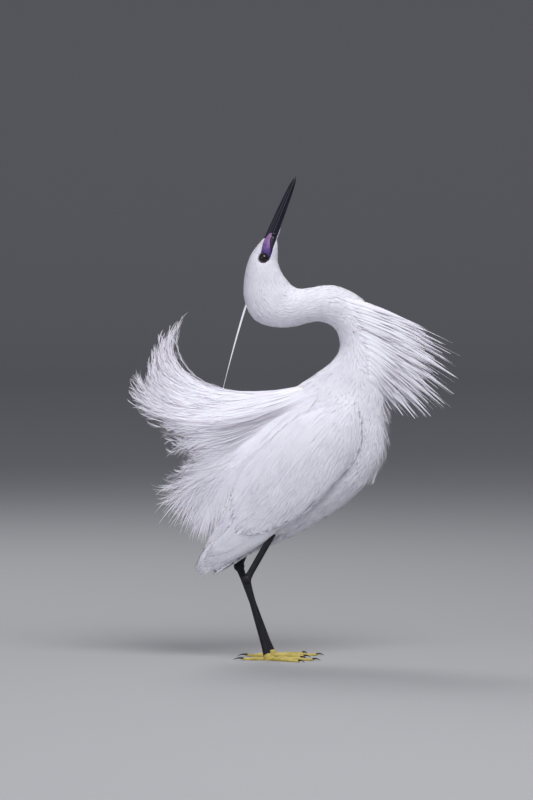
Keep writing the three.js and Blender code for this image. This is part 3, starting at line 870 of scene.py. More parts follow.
def build_wing(name, side):
    """The quills of a folded wing's tip."""
    rings = vane_rows(Wing(name, side), **PRIMARIES)
    _, _, uv = on_skin(rings[:, 0].mean(1))
    return coat_pieces(f"wing_{name}_feathers", rings, uv, VANE, "plumage", vane_scale=3.0)


for name, side in SIDES.items():
    build_wing(name, side)

# Tail feathers: a small fan under the wing tips

TAIL_END = np.array([-64.0, 0.0, 106.0])
TAIL_HEADING = 213.0


def build_tail():
    """Twelve feathers side by side that run to the tail's end."""
    count, along = 12, 8
    turn = np.linspace(-1, 1, count)
    t = np.linspace(0, 1, along)
    back = heading(TAIL_HEADING)
    up = np.array([back[2], 0, -back[0]])
    root = TAIL_END - back * 60
    y = turn[:, None] * (6 + 13 * t)
    centre = root + back * (61 * t)[None, :, None] + ACROSS * y[..., None]
    centre = centre + up * (1.6 - 1.4 * np.abs(turn))[:, None, None]
    shape = np.array([0.6, 0.85, 1.0, 1.0, 0.98, 0.9, 0.68, 0.15])
    side = np.zeros_like(centre) + ACROSS
    out = np.zeros_like(centre) + up
    shape = np.broadcast_to(shape, y.shape)
    rings = blades(centre, side, out, 4.6 * shape, 0.4 * shape, around=8)
    rings = at(rings)
    _, _, uv = on_skin(rings[:, 0].mean(1))
    return coat_pieces("tail_feathers", rings, uv, VANE, "plumage", vane_scale=3.0)


build_tail()

# Back plumes


def cape_table(share):
    """CAPE's values at a share, on a smooth line through its rows."""
    x = np.clip(share, 0, 1) * (len(CAPE) - 1)
    i = np.minimum(x.astype(int), len(CAPE) - 2)
    f = (x - i)[..., None]
    rows = np.pad(CAPE, ((1, 1), (0, 0)), "reflect", reflect_type="odd")
    p0, p1, p2, p3 = (rows[i + k] for k in range(4))
    return 0.5 * (
        2 * p1
        + (p2 - p0) * f
        + (2 * p0 - 5 * p1 + 4 * p2 - p3) * f**2
        + (3 * p1 - p0 - 3 * p2 + p3) * f**3
    )


# How far the plumes reach at shares of the cape, with the photograph's notch above the lower lobe.
RIM = [
    (0, 0.93),
    (0.08, 0.92),
    (0.16, 0.87),
    (0.26, 0.83),
    (0.38, 0.90),
    (0.48, 0.89),
    (0.58, 0.88),
    (0.66, 0.8),
    (0.73, 0.73),
    (0.79, 0.9),
    (0.88, 0.95),
    (1.0, 0.92),
]


def cape_point(signed, t, reach=1.0):
    """Millimetres on the cape. signed is the share, negative on the right side."""
    signed, t, reach = np.broadcast_arrays(signed, t, reach)
    share = np.abs(signed)
    side = np.where(signed < 0, -1.0, 1.0)
    row = cape_table(share)
    root = np.stack([row[..., 0], 0 * share, row[..., 1]], -1)
    tip = np.stack([row[..., 2], 0 * share, row[..., 3]], -1)
    length = np.linalg.norm(tip - root, axis=-1)[..., None]
    leave, end = heading(row[..., 4]), heading(row[..., 5])
    bow = row[..., 6:7]
    a = root
    b = root + leave * bow * length
    c = tip - end * 0.7 * bow * length
    d = tip + end * ((reach - 1)[..., None] * length)
    s = t[..., None]
    p = a * (1 - s) ** 3 + 3 * b * s * (1 - s) ** 2 + 3 * c * s**2 * (1 - s) + d * s**3
    p[..., 1] = side * (42 * share**0.75 + share * 18 * np.sin(np.pi * np.minimum(1, t)))
    return p


def cape_frame(signed, t, reach=1.0):
    """The point, the way along, and the way out of the cape."""
    p = cape_point(signed, t, reach)
    way = unit(cape_point(signed, t + 0.01, reach) - cape_point(signed, t - 0.01, reach))
    step = 0.02
    over = cape_point(signed + step, t, reach) - cape_point(signed - step, t, reach)
    out = unit(np.cross(way, over))
    out = np.where(out[..., 2:3] * 0.3 + out[..., 1:2] * np.sign(signed)[..., None] < 0, -out, out)
    return p, way, out


def cape_lines(signed, t, reach, height, wave=0.7):
    """Centre lines on the cape, raised by height and gently waved, with their side and outward ways."""
    p, way, out = cape_frame(signed, t, reach)
    k = np.linspace(0, 1, t.shape[1])
    count = len(t)
    wave = rng.normal(0, wave, (count, 1)) * np.sin(k * rng.uniform(2, 5, (count, 1)))
    # The roots sink into the coat of the back, so that no edge shows.
    sunk = 3.5 * (1 - smooth(0.0, 0.22, t))
    p = p + out * (height * smooth(0.0, 0.3, t) - sunk + wave)[..., None]
    p = draped(p, np.broadcast_to(np.abs(signed), t.shape), np.broadcast_to(height, t.shape))
    side = unit(np.cross(out, way))
    return p, side, out


FIELD_STEP = 5.0


def outline_field():
    """How far the skin reaches sideways over a grid in the XZ plane, smoothed and carried on past its
    silhouette: the grid's x and z, and the reach, all in millimetres."""
    xs = np.arange(-150.0, 131.0, FIELD_STEP)
    zs = np.arange(90.0, 371.0, FIELD_STEP)
    reach = np.full((len(xs), len(zs)), np.nan)
    for i, x in enumerate(xs):
        for j, z in enumerate(zs):
            hit = skin_tree.ray_cast(Vector(at((x, -200.0, z))), Vector((0, 1, 0)))[0]
            if hit is not None and hit.y < 0:
                reach[i, j] = -hit.y * 1000
    known = ~np.isnan(reach)
    field = np.where(known, reach, 24.0)
    spreading, smoothing = 150, 10
    for turn in range(spreading + smoothing):
        pad = np.pad(field, 1, "edge")
        mean = (pad[:-2, 1:-1] + pad[2:, 1:-1] + pad[1:-1, :-2] + pad[1:-1, 2:]) / 4
        field = np.where(known & (turn < spreading), reach, mean)
    return xs, zs, field


FIELD_X, FIELD_Z, FIELD = outline_field()


def draped(p, share, height):
    """Points of the cape's lower part, laid on the folded wings where they would stand off them."""
    i = (p[..., 0] - FIELD_X[0]) / FIELD_STEP
    j = (p[..., 2] - FIELD_Z[0]) / FIELD_STEP
    reach = bilinear(FIELD, i, j)
    wide = np.abs(p[..., 1])
    hold = smooth(0.4, 0.78, share)
    side = np.where(p[..., 1] < 0, -1.0, 1.0)
    p = p.copy()
    p[..., 1] = side * (wide + (reach + 2.4 + 0.6 * height - wide) * hold)
    return p


def slender(k, power=2.0, least=0.1, start=0.4, swell=4.0):
    """A plume's width along it: a quick swell from its start, and a taper to the least at its end."""
    return np.maximum(1 - k**power, least) * np.minimum(1, start + swell * k)


def finish_plumes(name, lines, size, thick, around=4, tilt=0.35):
    """Blades along lines in millimetres. size is their half width, and thick its share in thickness."""
    p, side, out = lines
    rings = at(blades(p, side, out, size, np.maximum(size * thick, 0.05), around))
    _, _, uv = on_skin(rings[:, 0].mean(1))
    normals = soft_normals(side, out, around, tilt)
    return coat_pieces(name, rings, uv, PLUME, "plumes", normals=normals)


# Layers of blades all over the cape: a bed of broad soft ones, fine silky strands over it, and more inside,
# which have no height of their own, so that the spray isn't hollow from behind. most holds a share of the
# cape and where along it the blades end at the latest, past that share and before it.
CAPE_LAYERS = {
    "plume_bed": dict(
        count=760,
        start=(-0.04, 0.35),
        long=(0.35, 0.55),
        most=(0.68, 0.60, 0.74),
        steps=9,
        half=4.4,
        varied=0.2,
        thick=0.1,
        height=(-1.2, 0.6),
    ),
    "plume_silk": dict(
        count=2300,
        start=(0.0, 0.6),
        long=(0.25, 0.45),
        most=(0.66, 0.80, 0.85),
        steps=7,
        half=1.15,
        varied=0.3,
        thick=0.25,
        height=(0.2, 1.7),
        wander=0.025,
    ),
    "plume_filling": dict(
        count=1900,
        start=(0.3, 0.6),
        long=(0.25, 0.4),
        most=(0.5, 0.93, 0.93),
        steps=7,
        half=1.3,
        varied=0.3,
        thick=0.2,
    ),
}


def build_cape():
    """The back plumes: the layers, then shafts gathered in locks, with their barbs."""

    def rim(signed):
        return looked_up(np.abs(signed), RIM)

    def along(start, end, steps):
        k = np.linspace(0, 1, steps)
        return start[:, None] + (end - start)[:, None] * k, k

    def layer(name, count, start, long, most, steps, half, varied, thick, height=None, wander=0.0):
        signed = rng.uniform(-1, 1, count)
        t0 = rng.uniform(*start, count)
        limit = np.where(np.abs(signed) > most[0], most[1], most[2])
        t, k = along(t0, np.minimum(t0 + rng.uniform(*long, count), limit), steps)
        path = signed[:, None]
        if wander:
            path = path + rng.normal(0, wander, (count, 1)) * k
        size = half * rng.uniform(1 - varied, 1 + varied, (count, 1)) * slender(k)
        raised = rng.uniform(*height, (count, 1)) if height else np.zeros((count, 1))
        lines = cape_lines(path, t, rim(signed)[:, None], raised)
        if not height:
            lines[0][..., 1] *= rng.uniform(0.0, 0.92, (count, 1)) ** 0.8
        finish_plumes(name, lines, size, thick)

    for name, facts in CAPE_LAYERS.items():
        layer(name, **facts)

    # The plumes' own shafts, gathered in locks at the rim.
    count, steps = 210, 12
    signed = np.linspace(-1, 1, count) + rng.normal(0, 0.006, count)
    lock = np.round(signed * 24) / 24
    reach = rim(signed) * (1 + 0.05 * np.sin(signed * 83) + rng.normal(0, 0.035, count))
    t, k = along(rng.uniform(0.15, 0.45, count), np.ones(count), steps)
    drawn = signed[:, None] + (lock - signed)[:, None] * smooth(0.45, 1.0, t) * 0.55
    drawn = drawn + rng.normal(0, 0.018, (count, 1)) * k**2
    height = rng.uniform(0.0, 2.0, (count, 1))
    size = 0.62 * rng.uniform(0.8, 1.2, (count, 1)) * slender(k, 3, 0.2, 1)
    finish_plumes("plume_shafts", cape_lines(drawn, t, reach[:, None], height, 0.4), size, 0.6)

    # The barbs that leave the shafts.
    barbs = 6200
    which = rng.integers(0, count, barbs)
    place = 0.30 + 0.67 * rng.uniform(0, 1, barbs) ** 0.85
    length = rng.uniform(12, 30, barbs) * (1.1 - 0.45 * place)
    turn = np.radians(rng.uniform(7, 26, barbs)) * rng.choice([-1, 1], barbs)
    shaft_t, shaft_share = t[which], drawn[which]
    start = np.array([np.interp(place[i], shaft_t[i], shaft_share[i]) for i in range(barbs)])
    k = np.linspace(0, 1, 6)
    cape_width = 60 + 190 * place
    cape_length = 175 * reach[which]
    t = place[:, None] + (length * np.cos(turn) / cape_length)[:, None] * k
    share = start[:, None] + (length * np.sin(turn) / cape_width)[:, None] * k**1.35
    lift = height[which] + rng.normal(0, 2.2, (barbs, 1)) * k
    size = 0.40 * rng.uniform(0.7, 1.3, (barbs, 1)) * slender(k, 2, 0.15, 1)
    lines = cape_lines(share, np.minimum(t, 1.01), reach[which][:, None], lift, 0.5)
    finish_plumes("plume_barbs", lines, size, 0.7, 3)


build_cape()


def build_hanging_plumes():
    """Fine plumes that leave the cape's lower edge and hang over the rear of the folded wings."""
    count, steps = 2100, 9
    side_of = rng.choice([-1.0, 1.0], count)
    start = rng.uniform(0.0, 0.72, count)
    at_edge = rng.uniform(0, 1, count) < 0.5
    share = np.where(at_edge, 0.97, rng.uniform(0.8, 1.0, count)) * side_of
    root, way, _ = cape_frame(share, start, 0.92)
    k = np.linspace(0, 1, steps)
    turn = np.degrees(np.arctan2(way[:, 2], way[:, 0])) % 360
    turn = turn + 26 * rng.uniform(0, 1, count) ** 1.3
    length = rng.uniform(52, 104, count) * (1.1 - 0.45 * start)
    ways = heading(turn[:, None] + 16 * k)
    p = root[:, None] + np.cumsum(ways, 1) * (length / steps)[:, None, None]
    height = rng.uniform(-1.5, 2.0, (count, 1)) + 1.5 * smooth(0, 0.3, k) - 1.5
    p[..., 1] = side_of[:, None]
    p = draped(p, np.ones(p.shape[:2]), height)
    out = np.zeros_like(p)
    out[..., 1] = side_of[:, None]
    out[..., 0] = -0.35
    side = sideways(out, p)
    size = rng.uniform(0.45, 1.3, (count, 1)) * slender(k)
    finish_plumes("hanging_plumes", (p, side, unit(out)), size, 0.2)


build_hanging_plumes()


SHOULDER_LINE = [(-22, 262), (20, 292), (55, 312), (84, 322)]  # x and z of the scapulars' upper roots


def build_scapulars():
    """Long soft feathers from the shoulders that hang over the upper part of the folded wings."""
    count, steps = 1000, 9
    side_of = rng.choice([-1.0, 1.0], count)
    x = rng.uniform(-22, 84, count)
    z = looked_up(x, SHOULDER_LINE) - rng.uniform(0, 1, count) ** 1.5 * 34
    point = at(np.stack([x, side_of * 60, z], -1))
    for i in range(count):
        hit = skin_tree.ray_cast(Vector(point[i]), Vector((0, -side_of[i], 0)))[0]
        if hit is not None:
            point[i] = hit
    point, normal, _ = on_skin(point)
    length = rng.uniform(50, 96, count)
    k = np.linspace(0, 1, steps)
    turn = rng.normal(0, 2.5, count)
    line = np.empty((count, steps, 3))
    outs = np.empty((count, steps, 3))
    for j in range(steps):
        line[:, j], outs[:, j] = point, normal
        way = heading(222 + 22 * k[j] + turn)
        flat = unit(way - normal * (way * normal).sum(1, keepdims=True))
        point, normal, _ = on_skin(point + flat * (length / (steps - 1) / 1000)[:, None])
    lift = rng.uniform(1.4, 3.0, (count, 1)) * (smooth(0, 0.3, k) - 0.3)
    mm = line * 1000 - SHIFT + outs * lift[..., None]
    side = sideways(outs, mm)
    size = rng.uniform(1.3, 2.4, (count, 1)) * slender(k, 2.5, 0.06, 0.5, 3)
    finish_plumes("scapulars", (mm, side, outs), size, 0.12, tilt=0.3)


build_scapulars()

# Foreneck plumes


def neck_point(rank, t, reach):
    """The x and z along a foreneck plume: rank from 0 at the top of the fan to 1 at its foot."""
    length = reach * (141 - 102 * rank**3 - 10 * (1 - rank) ** 4)
    angle = np.radians(-17 - 32 * np.clip(rank, 0, 1) ** 1.2 - 3.5 * t)
    x = 108 + 20 * rank + length * t * np.cos(angle)
    z = FAN_TOP - 4 - FAN_DEPTH * rank + length * t * np.sin(angle) - 4.0 * t**2
    return x, z


def neck_lines(rank, across, t, reach):
    """Lines of the fan: rank and t have the shape (count, steps), across runs from -1 to 1."""
    x, z = neck_point(rank, t, reach)
    start = at(np.stack([x[:, 0], 0 * x[:, 0], z[:, 0]], -1))
    wide = np.empty(len(x))
    for i, place in enumerate(start):
        far = Vector((place[0], math.copysign(0.2, across[i]), place[2]))
        hit = skin_tree.ray_cast(far, Vector((0, -math.copysign(1, across[i]), 0)))[0]
        wide[i] = 16 if hit is None else abs(hit.y) * 1000 + 3.0
    wide = np.clip(wide, 9, 24)
    # The roots sink into the neck's coat, so that no edge shows.
    sunk = 2.6 * (1 - smooth(0.0, 0.09, t)) * np.sign(across)[:, None]
    y = (across * wide)[:, None] * (1 - 0.62 * smooth(0.05, 0.85, t)) - sunk
    p = np.stack([x, y, z], -1)
    way = unit(np.gradient(p, axis=1))
    out = np.zeros_like(p)
    out[..., 1] = 1.5 * np.sign(across)[:, None]
    # The fan is a little domed, so its upper and lower plumes face up and down.
    out[..., 2] = 0.55 - 0.9 * rank
    side = unit(np.cross(out, way))
    return p, side, unit(np.cross(way, side))


def build_neck_plumes():
    """The fan of foreneck plumes: a bed, silky strands, pointed locks and a few lone shafts."""

    def strands(name, rank, across, t0, t1, reach, half, thick, steps, gather=None, around=4):
        k = np.linspace(0, 1, steps)
        t = t0[:, None] + (t1 - t0)[:, None] * k
        ranks = np.repeat(rank[:, None], steps, 1)
        if gather is not None:
            ranks = ranks + (gather - rank)[:, None] * smooth(0.25, 0.9, t) * 0.93
        lines = neck_lines(ranks, across, t, reach[:, None])
        size = half[:, None] * slender(k, 1.8, 0.1, 0.5)
        return finish_plumes(name, lines, size, thick, around)

    def spread(count):
        across = (1.04 - 0.7 * rng.uniform(0, 1, count) ** 2.2) * rng.choice([-1, 1], count)
        return 1.04 * rng.uniform(0, 1, count) ** 1.25 - 0.04, across

    count = 900
    rank, across = spread(count)
    t0 = rng.uniform(-0.12, 0.24, count)
    t1 = t0 + rng.uniform(0.3, 0.46, count)
    half = rng.uniform(1.9, 3.2, count)
    strands("neck_plume_bed", rank, across, t0, t1, np.ones(count), half, 0.12, 8)

    count = 1500
    rank, across = spread(count)
    t0 = rng.uniform(-0.1, 0.4, count)
    t1 = np.minimum(t0 + rng.uniform(0.3, 0.45, count), 0.82)
    half = rng.uniform(0.5, 1.0, count)
    strands("neck_plume_silk", rank, across, t0, t1, np.ones(count), half, 0.15, 7)

    # Locks: their strands draw together into separate points.
    locks = 30
    middle = np.linspace(0.0, 0.99, locks) + rng.normal(0, 0.008, locks)
    ends = 1.0 + rng.uniform(-0.2, 0.06, locks)
    ends[::4] = 1.06
    ends[:5] = (0.76, 0.93, 0.82, 1.0, 0.9)
    across_of = rng.uniform(0.1, 0.8, locks) * np.where(np.arange(locks) % 2, 1, -1)
    count = 1500
    which = rng.integers(0, locks, count)
    rank = middle[which] + rng.normal(0, 0.035, count)
    across = np.clip(across_of[which] + rng.normal(0, 0.22, count), -1.02, 1.02)
    across = np.where(np.abs(across) < 0.06, 0.06, across)
    t0 = rng.uniform(0.28, 0.6, count)
    t1 = 1 - 0.42 * rng.uniform(0, 1, count) ** 1.4
    half = rng.uniform(0.38, 0.62, count)
    strands("neck_plume_locks", rank, across, t0, t1, ends[which], half, 0.6, 9, middle[which])

    # A few lone shafts run on past the rest.
    count = 26
    rank = np.linspace(0.0, 0.98, count) + rng.normal(0, 0.012, count)
    across = rng.uniform(-0.6, 0.6, count)
    across = np.where(np.abs(across) < 0.1, 0.1, across)
    t0 = np.full(count, 0.35)
    reach = 1 + rng.uniform(-0.08, 0.1, count)
    half = np.full(count, 0.5)
    pieces = strands("neck_plume_shafts", rank, across, t0, np.ones(count), reach, half, 0.7, 10)
    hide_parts("neck_plumes")


build_neck_plumes()

# Ragged tufts down the front of the breast: root x and z, heading and length.
BREAST_TUFTS = [
    (148, 314, -66, 20),
    (149, 292, -76, 22),
    (148, 272, -86, 22),
    (143, 252, -98, 22),
    (134, 236, -112, 20),
]


def build_breast_tufts():
    """Tufts that stand off the breast and point down it."""
    count, steps = 640, 6
    which = rng.integers(0, len(BREAST_TUFTS), count)
    x, z, turn, length = np.array(BREAST_TUFTS, float)[which].T
    y = rng.normal(0, 11, count)
    point = at(np.stack([x + 10 - 0.03 * y**2, y, z + rng.normal(0, 5, count)], -1))
    place, normal, _ = on_skin(point)
    k = np.linspace(0, 1, steps)
    way = heading(turn + rng.normal(0, 3, count))
    long = length * rng.uniform(0.6, 1.0, count)
    start = place * 1000 - SHIFT + normal * 0.6
    p = start[:, None] + way[:, None] * (long[:, None] * k)[..., None]
    p[..., 1] -= y[:, None] * 0.35 * k**1.5
    p += normal[:, None] * (1.6 * k)[..., None]
    out = np.repeat(normal[:, None], steps, 1)
    side = sideways(out, p)
    size = rng.uniform(0.5, 1.0, (count, 1)) * slender(k, 1.6, 0.08, 1)
    finish_plumes("breast_tufts", (p, side, out), size, 0.25, tilt=0.4)


build_breast_tufts()


def build_nape_plumes():
    """The two long plumes that hang free behind the neck."""
    t = np.linspace(0, 1, 18)
    size = 1.2 * slender(t, 2, 0.2, 0.6, 3)[None]
    for name, side in SIDES.items():
        root = np.array([-20.5, side * 2.2, 452.0])
        mid = np.array([-34.0, side * 3.2, 412.0])
        end = np.array([-52.5, side * 6.2, 338.0])
        p = bent(root, mid, end, len(t))[None]
        out = np.zeros_like(p) + ACROSS * side
        pieces = finish_plumes(f"nape_plume_{name}_vane", (p, sideways(out, p), out), size, 0.6, 6)
        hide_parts(f"nape_plume_{name}")


build_nape_plumes()

# Bill


def tube(name, line, high, wide, material, slot, around=24, across=ACROSS, node=None):
    """A smooth closed tube along a line in millimetres, with half sizes at each of its points."""
    way = unit(np.gradient(line, axis=0))
    up = unit(np.cross(across, way))
    square = unit(np.cross(way, up))
    c, s = section(around).T
    high, wide = (np.broadcast_to(v, len(line)) for v in (high, wide))
    rings = line[:, None] + up[:, None] * (high[:, None] * s)[..., None]
    rings = rings + square[:, None] * (wide[:, None] * c)[..., None]
    return lofted(name, rings, material, slot, node)


def build_bill():
    """The two halves of the bill and the nostrils."""
    forward = heading(BILL_HEADING)
    up = np.array([-forward[2], 0, forward[0]])
    t = np.linspace(0, 1, 40)
    slim = 1 - 0.28 * t - 0.35 * t**2
    wide = BILL_WIDTH / 2 * slim * np.maximum(1 - t**12, 0.08)
    base = BILL_BASE - forward * BILL_SUNK
    a = np.linspace(0, np.pi, 20)
    y = np.cos(a)
    # A long groove runs from the nostril forward, and the culmen stands as a blunt ridge.
    groove = sum(np.exp(-(((a - place) / 0.16) ** 2)) for place in (0.62, 2.52))
    fade = smooth(0.02, 0.1, t) * (1 - smooth(0.3, 0.62, t))
    halves = (
        ("bill_upper", 1, BILL_LENGTH, 0.55, 0.85, 0.13),
        ("bill_lower", -1, BILL_LENGTH - 1.6, 0.45, 1.1, 0.05),
    )
    for name, sign, length, share, power, pinched in halves:
        high = BILL_DEPTH * share * slim * np.maximum(1 - t**15, 0.08)
        line = base + forward * ((length + BILL_SUNK) * t)[:, None]
        pinch = 1 - pinched * fade[:, None] * groove
        rings = line[:, None] + ACROSS * (wide[:, None] * y * pinch)[..., None]
        rise = 0.22 + high[:, None] * np.sin(a) ** power * pinch
        rings = rings + up * (sign * rise)[..., None]
        lofted(f"{name}_horn", rings, BILL, "horn", name)
    x = np.linspace(0, 1, 10)
    opening = 0.5 * np.sin(np.pi * np.clip(x, 0.08, 0.92))
    for name, side in SIDES.items():
        nostril = base + forward * (13 + 9 * x)[:, None] + up * 3.4
        nostril = nostril + ACROSS * side * (4.75 - 0.8 * x)[:, None]
        tube(f"nostril_{name}", nostril, opening, 0.35, CLAW, "horn", around=8)


build_bill()


def build_chin():
    """The narrow wedge of white feathers that runs out along the underside of the lower mandible."""
    count, steps = 260, 4
    along = rng.uniform(0, 1, count) ** 0.8
    turn = rng.uniform(-1, 1, count) * (1 - 0.75 * along)
    forward = heading(BILL_HEADING)
    below = np.array([forward[2], 0, -forward[0]])
    keel = BILL_BASE + below * (7.5 - 1.1 * along)[:, None] + forward * (18 * along - 3)[:, None]
    y = 3.4 * turn
    start = keel + ACROSS * y[:, None] - below * (1.6 * turn**2)[:, None]
    normal = unit(np.stack([np.full(count, 0.9), 0.9 * turn, np.full(count, -0.35)], -1))
    way = heading(np.full(count, 248.0))
    k = np.linspace(0, 1, steps)
    p = start[:, None] + way[:, None] * (rng.uniform(2.6, 4.2, (count, 1)) * k)[..., None]
    p = p + normal[:, None] * (0.15 + 0.5 * k)[:, None]
    out = np.repeat(normal[:, None], steps, 1)
    side = sideways(out, p)
    size = 0.5 * np.array([0.9, 1.0, 0.7, 0.1]) * np.ones((count, 1))
    finish_plumes("chin_tufts", (p, side, out), size, 0.2, tilt=0.3)


build_chin()

# Face: lores, gape, eyelids and eyes

head_tree = tree_of(joined_nodes(["head", "bill_upper", "bill_lower"]))


def on_face(x, z, side, off):
    """A point on the side of the head, off millimetres above it."""
    start = Vector(at((x, side * 60.0, z)))
    hit = head_tree.ray_cast(start, Vector((0, -side, 0)))[0]
    if hit is None:
        hit = head_tree.find_nearest(Vector(at((x, side * 8.0, z))))[0]
    return (x, side * (abs(hit.y) * 1000 + off), z)


def face_patch(name, side, z, near, far, off, material, across=12):
    """Bare skin on the side of the face, between two edges given at the heights z, as a thin shell."""
    fine_z = np.linspace(z[0], z[-1], 30)
    s = np.linspace(0, 1, across)
    top, low = [], []
    for height in fine_z:
        a, b = np.interp(height, z, near), np.interp(height, z, far)
        crown = off * (1 - (2 * s - 1) ** 4)
        row = a + (b - a) * s
        top.append([on_face(x, height, side, o) for x, o in zip(row, crown)])
        low.append([on_face(x, height, side, -1.0) for x in row])
    rings = np.concatenate([np.array(top), np.array(low)[:, ::-1]], 1)
    return lofted(name, rings, material, "horn")


def build_face():
    """The lores, the dark gape, the eyelids and the eyes."""
    for name, side in SIDES.items():
        face_patch(f"lore_{name}", side, FACE[:, 0], FACE[:, 1] - 0.5, FACE[:, 2] + 0.4, 0.35, LORE)
        gape = FACE[1:]
        face_patch(f"gape_{name}", side, gape[:, 0], gape[:, 2], gape[:, 3], 0.55, BILL)
        centre = EYE * np.array([1, side, 1])
        gaze = unit(np.array([0.10, side * 1.0, 0.10]))
        e1 = unit(np.cross(gaze, UP))
        e2 = np.cross(gaze, e1)
        # The eyelids are a ring round the eye, itself round in section.
        long_way, short_way = 48, 10
        a = 2 * np.pi * np.arange(long_way) / long_way
        b = 2 * np.pi * np.arange(short_way) / short_way
        radial = e1 * np.cos(a)[:, None] + e2 * np.sin(a)[:, None]
        radius = LID_RADIUS * (1 + 0.03 * np.sin(5 * a + side))
        ring = centre + gaze * LID_HEIGHT + radial * radius[:, None]
        lid = ring[:, None] + radial[:, None] * (0.62 * np.cos(b))[None, :, None]
        lid = lid + gaze * (0.8 * np.sin(b))[None, :, None]
        faces = []
        for i in range(long_way):
            for j in range(short_way):
                i2, j2 = (i + 1) % long_way, (j + 1) % short_way
                corners = ((i, j), (i2, j), (i2, j2), (i, j2))
                faces.append([m * short_way + n for m, n in corners])
        mesh_object(f"eyelid_{name}", at(lid.reshape(-1, 3)), faces, LID, "eye")
        bm = bmesh.new()
        bmesh.ops.create_uvsphere(bm, u_segments=48, v_segments=32, radius=EYE_RADIUS / 1000)
        for vert in bm.verts:
            vert.co += Vector(at(centre))
        mesh = bpy.data.meshes.new(f"eyeball_{name}")
        bm.to_mesh(mesh)
        bm.free()
        mesh.materials.append(EYE_LOOK)
        mesh.polygons.foreach_set("use_smooth", np.full(len(mesh.polygons), True))
        eye = bpy.data.objects.new(f"eyeball_{name}", mesh)
        bpy.context.scene.collection.objects.link(eye)
        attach(eye, "root")
        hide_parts(f"eye_{name}")


build_face()

# Legs, toes and claws

LEGS = {
    "right": dict(side=-1, knee=(13, 164), ankle=(-23, 100.5), foot=(3, 7.5), heel=5.9),
    "left": dict(side=1, knee=(-11, 163), ankle=(-32.5, 114), foot=(8, 7.5), heel=6.8),
}
TOES = {
    "inner": dict(degrees=-19, length=43, thick=3.3, claw=9, joints=2),
    "middle": dict(degrees=8, length=57, thick=3.5, claw=10, joints=3),
    "outer": dict(degrees=36, length=48, thick=3.3, claw=9, joints=3),
    "hind": dict(degrees=180, length=30, thick=3.3, claw=13, joints=2),
}
PALM_HEIGHT = 9.0
SHANK = (4.5, 3.6)  # half sizes, fore and aft and sideways


def scutes(t, length, pitch=4.2, depth=0.035):
    """Overlapping plates down a leg, as a saw-like ripple of its size."""
    phase = (t * length / pitch) % 1
    return 1 + depth * (phase - 0.5)


def leg_stretch(name, a, b, side, ends, node):
    """A scaled bone from a to b, both x and z, with swollen ends."""
    start = np.array([a[0], side * STANCE, a[1]])
    stop = np.array([b[0], side * STANCE, b[1]])
    t = np.linspace(0, 1, 90)
    line = start + (stop - start) * t[:, None]
    swell = ends[0] * np.exp(-((t / 0.09) ** 2)) + ends[1] * np.exp(-(((1 - t) / 0.09) ** 2))
    rough = scutes(t, np.linalg.norm(stop - start))
    high = SHANK[0] * (0.9 + swell) * rough
    wide = SHANK[1] * (0.93 + 0.8 * swell) * rough
    tube(name, line, high, wide, LEG, "leg_skin", node=node)


def build_toe(leg, toe, centre, side, degrees, length, thick, claw, joints, node):
    """A toe on the ground with pads between its joints, and the claw that curves down from it."""
    angle = side * math.radians(degrees)
    forward = np.array([math.cos(angle), math.sin(angle), 0])
    across = np.array([-math.sin(angle), math.cos(angle), 0])
    t = np.linspace(0, 1, 60)
    pads = 1 + 0.13 * np.cos(2 * np.pi * joints * t)
    radius = thick * (1 - 0.40 * t) * pads * scutes(t, length, 2.6, 0.05)
    radius[-1] *= 0.6
    line = centre + forward * ((length + 0.4) * t)[:, None]
    line[:, 2] = radius * 0.55
    c, s = section(20).T
    rings = line[:, None] + across * (radius[:, None] * c)[..., None]
    rings = rings + UP * (radius[:, None] * s)[..., None]
    rings[..., 2] = np.maximum(rings[..., 2], 0)
    lofted(f"toe_{leg}_{toe}", rings, FOOT, "foot_skin", node)
    ahead_and_up = ((length - 0.8, 2.1), (length + 0.55 * claw, 4.4), (length + claw, 0.3))
    start, high, tip = (centre + forward * ahead + UP * rise for ahead, rise in ahead_and_up)
    curve = bent(start, high, tip, 20)
    thin = np.linspace(1, 0.1, 20)
    name = f"claw_{leg}_{toe}"
    tube(f"{name}_horn", curve, 1.6 * thin, 1.25 * thin, CLAW, "horn", 14, across, name)


def build_leg(name, side, knee, ankle, foot, heel):
    leg_stretch(f"shank_{name}_skin", knee, ankle, side, (0.1, 0.25), f"shank_{name}")
    leg_stretch(f"tarsus_{name}_skin", ankle, (foot[0], foot[1] - 2), side, (0.22, 0.2), f"tarsus_{name}")
    # The ankle's knuckle, wider than it is long.
    t = np.linspace(-1, 1, 15)
    knuckle = np.array([ankle[0], side * STANCE, ankle[1]]) + np.array([0, 5.4, 0]) * t[:, None]
    size = heel * np.sqrt(np.maximum(1 - 0.92 * t**4, 0.02))
    tube(f"ankle_{name}_skin", knuckle, size, size, LEG, "leg_skin", across=(1, 0, 0))
    centre = np.array([foot[0], side * STANCE, 0.0])
    for toe, facts in TOES.items():
        build_toe(name, toe, centre, side, **facts, node=f"foot_{name}" if toe == "middle" else None)
    # The palm where the toes meet, under the tarsus.
    rows = np.linspace(0, 1, 14)
    line = centre + UP * PALM_HEIGHT * rows[:, None]
    line[:, 0] += 0.6 * (1 - rows)
    size = 6.0 * np.sqrt(np.maximum(1 - (rows * 0.78) ** 2.4, 0.05))
    tube(f"palm_{name}", line, size, size * 0.92, FOOT, "foot_skin")


for name, facts in LEGS.items():
    build_leg(name, **facts)

# The CAD's plume solids give way to the strands.
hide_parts("plumes_middle", "plumes_right", "plumes_left")

# Floor, light and camera


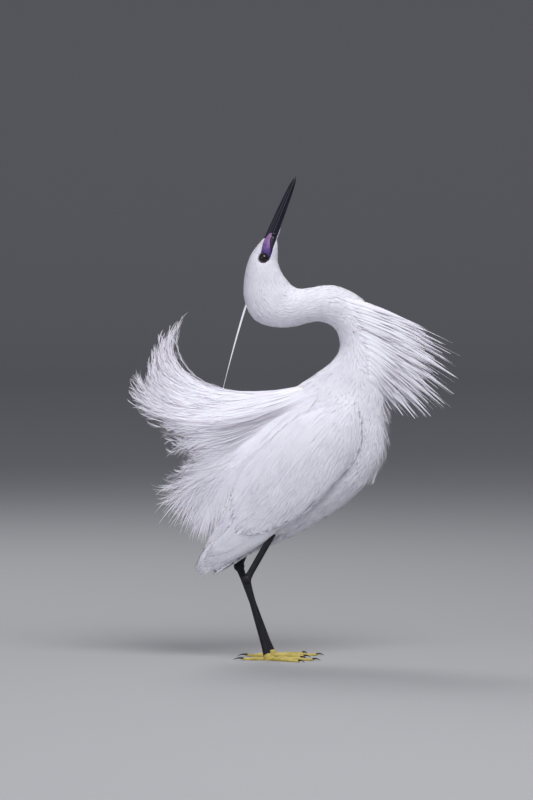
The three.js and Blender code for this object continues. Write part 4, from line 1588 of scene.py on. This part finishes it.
def build_floor():
    """A floor that sweeps up into a plain wall far behind."""
    width, near, far, bend, height = 50.0, -30.0, 9.0, 3.0, 9.0
    profile = [(near, 0.0), (far, 0.0)]
    for k in range(1, 25):
        a = math.pi / 2 * k / 24
        profile.append((far + bend * math.sin(a), bend - bend * math.cos(a)))
    profile.append((far + bend, height))
    points = [(x, y, z) for x in (-width / 2, width / 2) for y, z in profile]
    n = len(profile)
    faces = [(i, i + n, i + n + 1, i + 1) for i in range(n - 1)]
    grey = Nodes("studio_grey")
    grey.set(Roughness=0.8, Base_Color=(0.36, 0.37, 0.38, 1))
    mesh_object("floor", points, faces, grey.material)


def area_light(name, place, size, power, color):
    """A square lamp that shines at the bird's middle."""
    light = bpy.data.lights.new(name, "AREA")
    light.size = size
    light.energy = power
    light.color = color
    obj = bpy.data.objects.new(name, light)
    obj.location = place
    obj.rotation_euler = (Vector((0, 0, 0.3)) - Vector(place)).to_track_quat("-Z", "Y").to_euler()
    bpy.context.scene.collection.objects.link(obj)


build_floor()
area_light("key", (0.7, -1.7, 2.5), 1.6, 66, (1.0, 0.985, 0.985))
area_light("fill", (-2.2, -2.4, 1.0), 2.0, 20, (0.94, 0.91, 1.0))
area_light("rim", (-0.8, 1.8, 2.2), 1.2, 30, (1.0, 0.98, 0.99))
world = bpy.data.worlds.new("studio")
world.use_nodes = True
background = world.node_tree.nodes["Background"]
background.inputs["Color"].default_value = (0.86, 0.85, 0.95, 1)
background.inputs["Strength"].default_value = 0.29
bpy.context.scene.world = world
bpy.context.scene.view_settings.view_transform = "Standard"

# The photograph's scale is 1.25 mm a pixel, its height 800 pixels, and its middle lies here.
VIEW_HEIGHT = 1.0
TARGET = at((1.9, 0.0, 324.0))
DISTANCE = 6.0
ELEVATION = 2.5  # degrees
SENSOR = 36
camera_data = bpy.data.cameras.new("camera")
camera_data.sensor_width = SENSOR
camera_data.lens = SENSOR * DISTANCE / VIEW_HEIGHT
camera_data.clip_end = 100
camera = bpy.data.objects.new("camera", camera_data)
lean = math.radians(ELEVATION)
camera.location = Vector(TARGET) + DISTANCE * Vector((0, -math.cos(lean), math.sin(lean)))
camera.rotation_euler = (math.pi / 2 - lean, 0, 0)
bpy.context.scene.collection.objects.link(camera)
bpy.context.scene.camera = camera
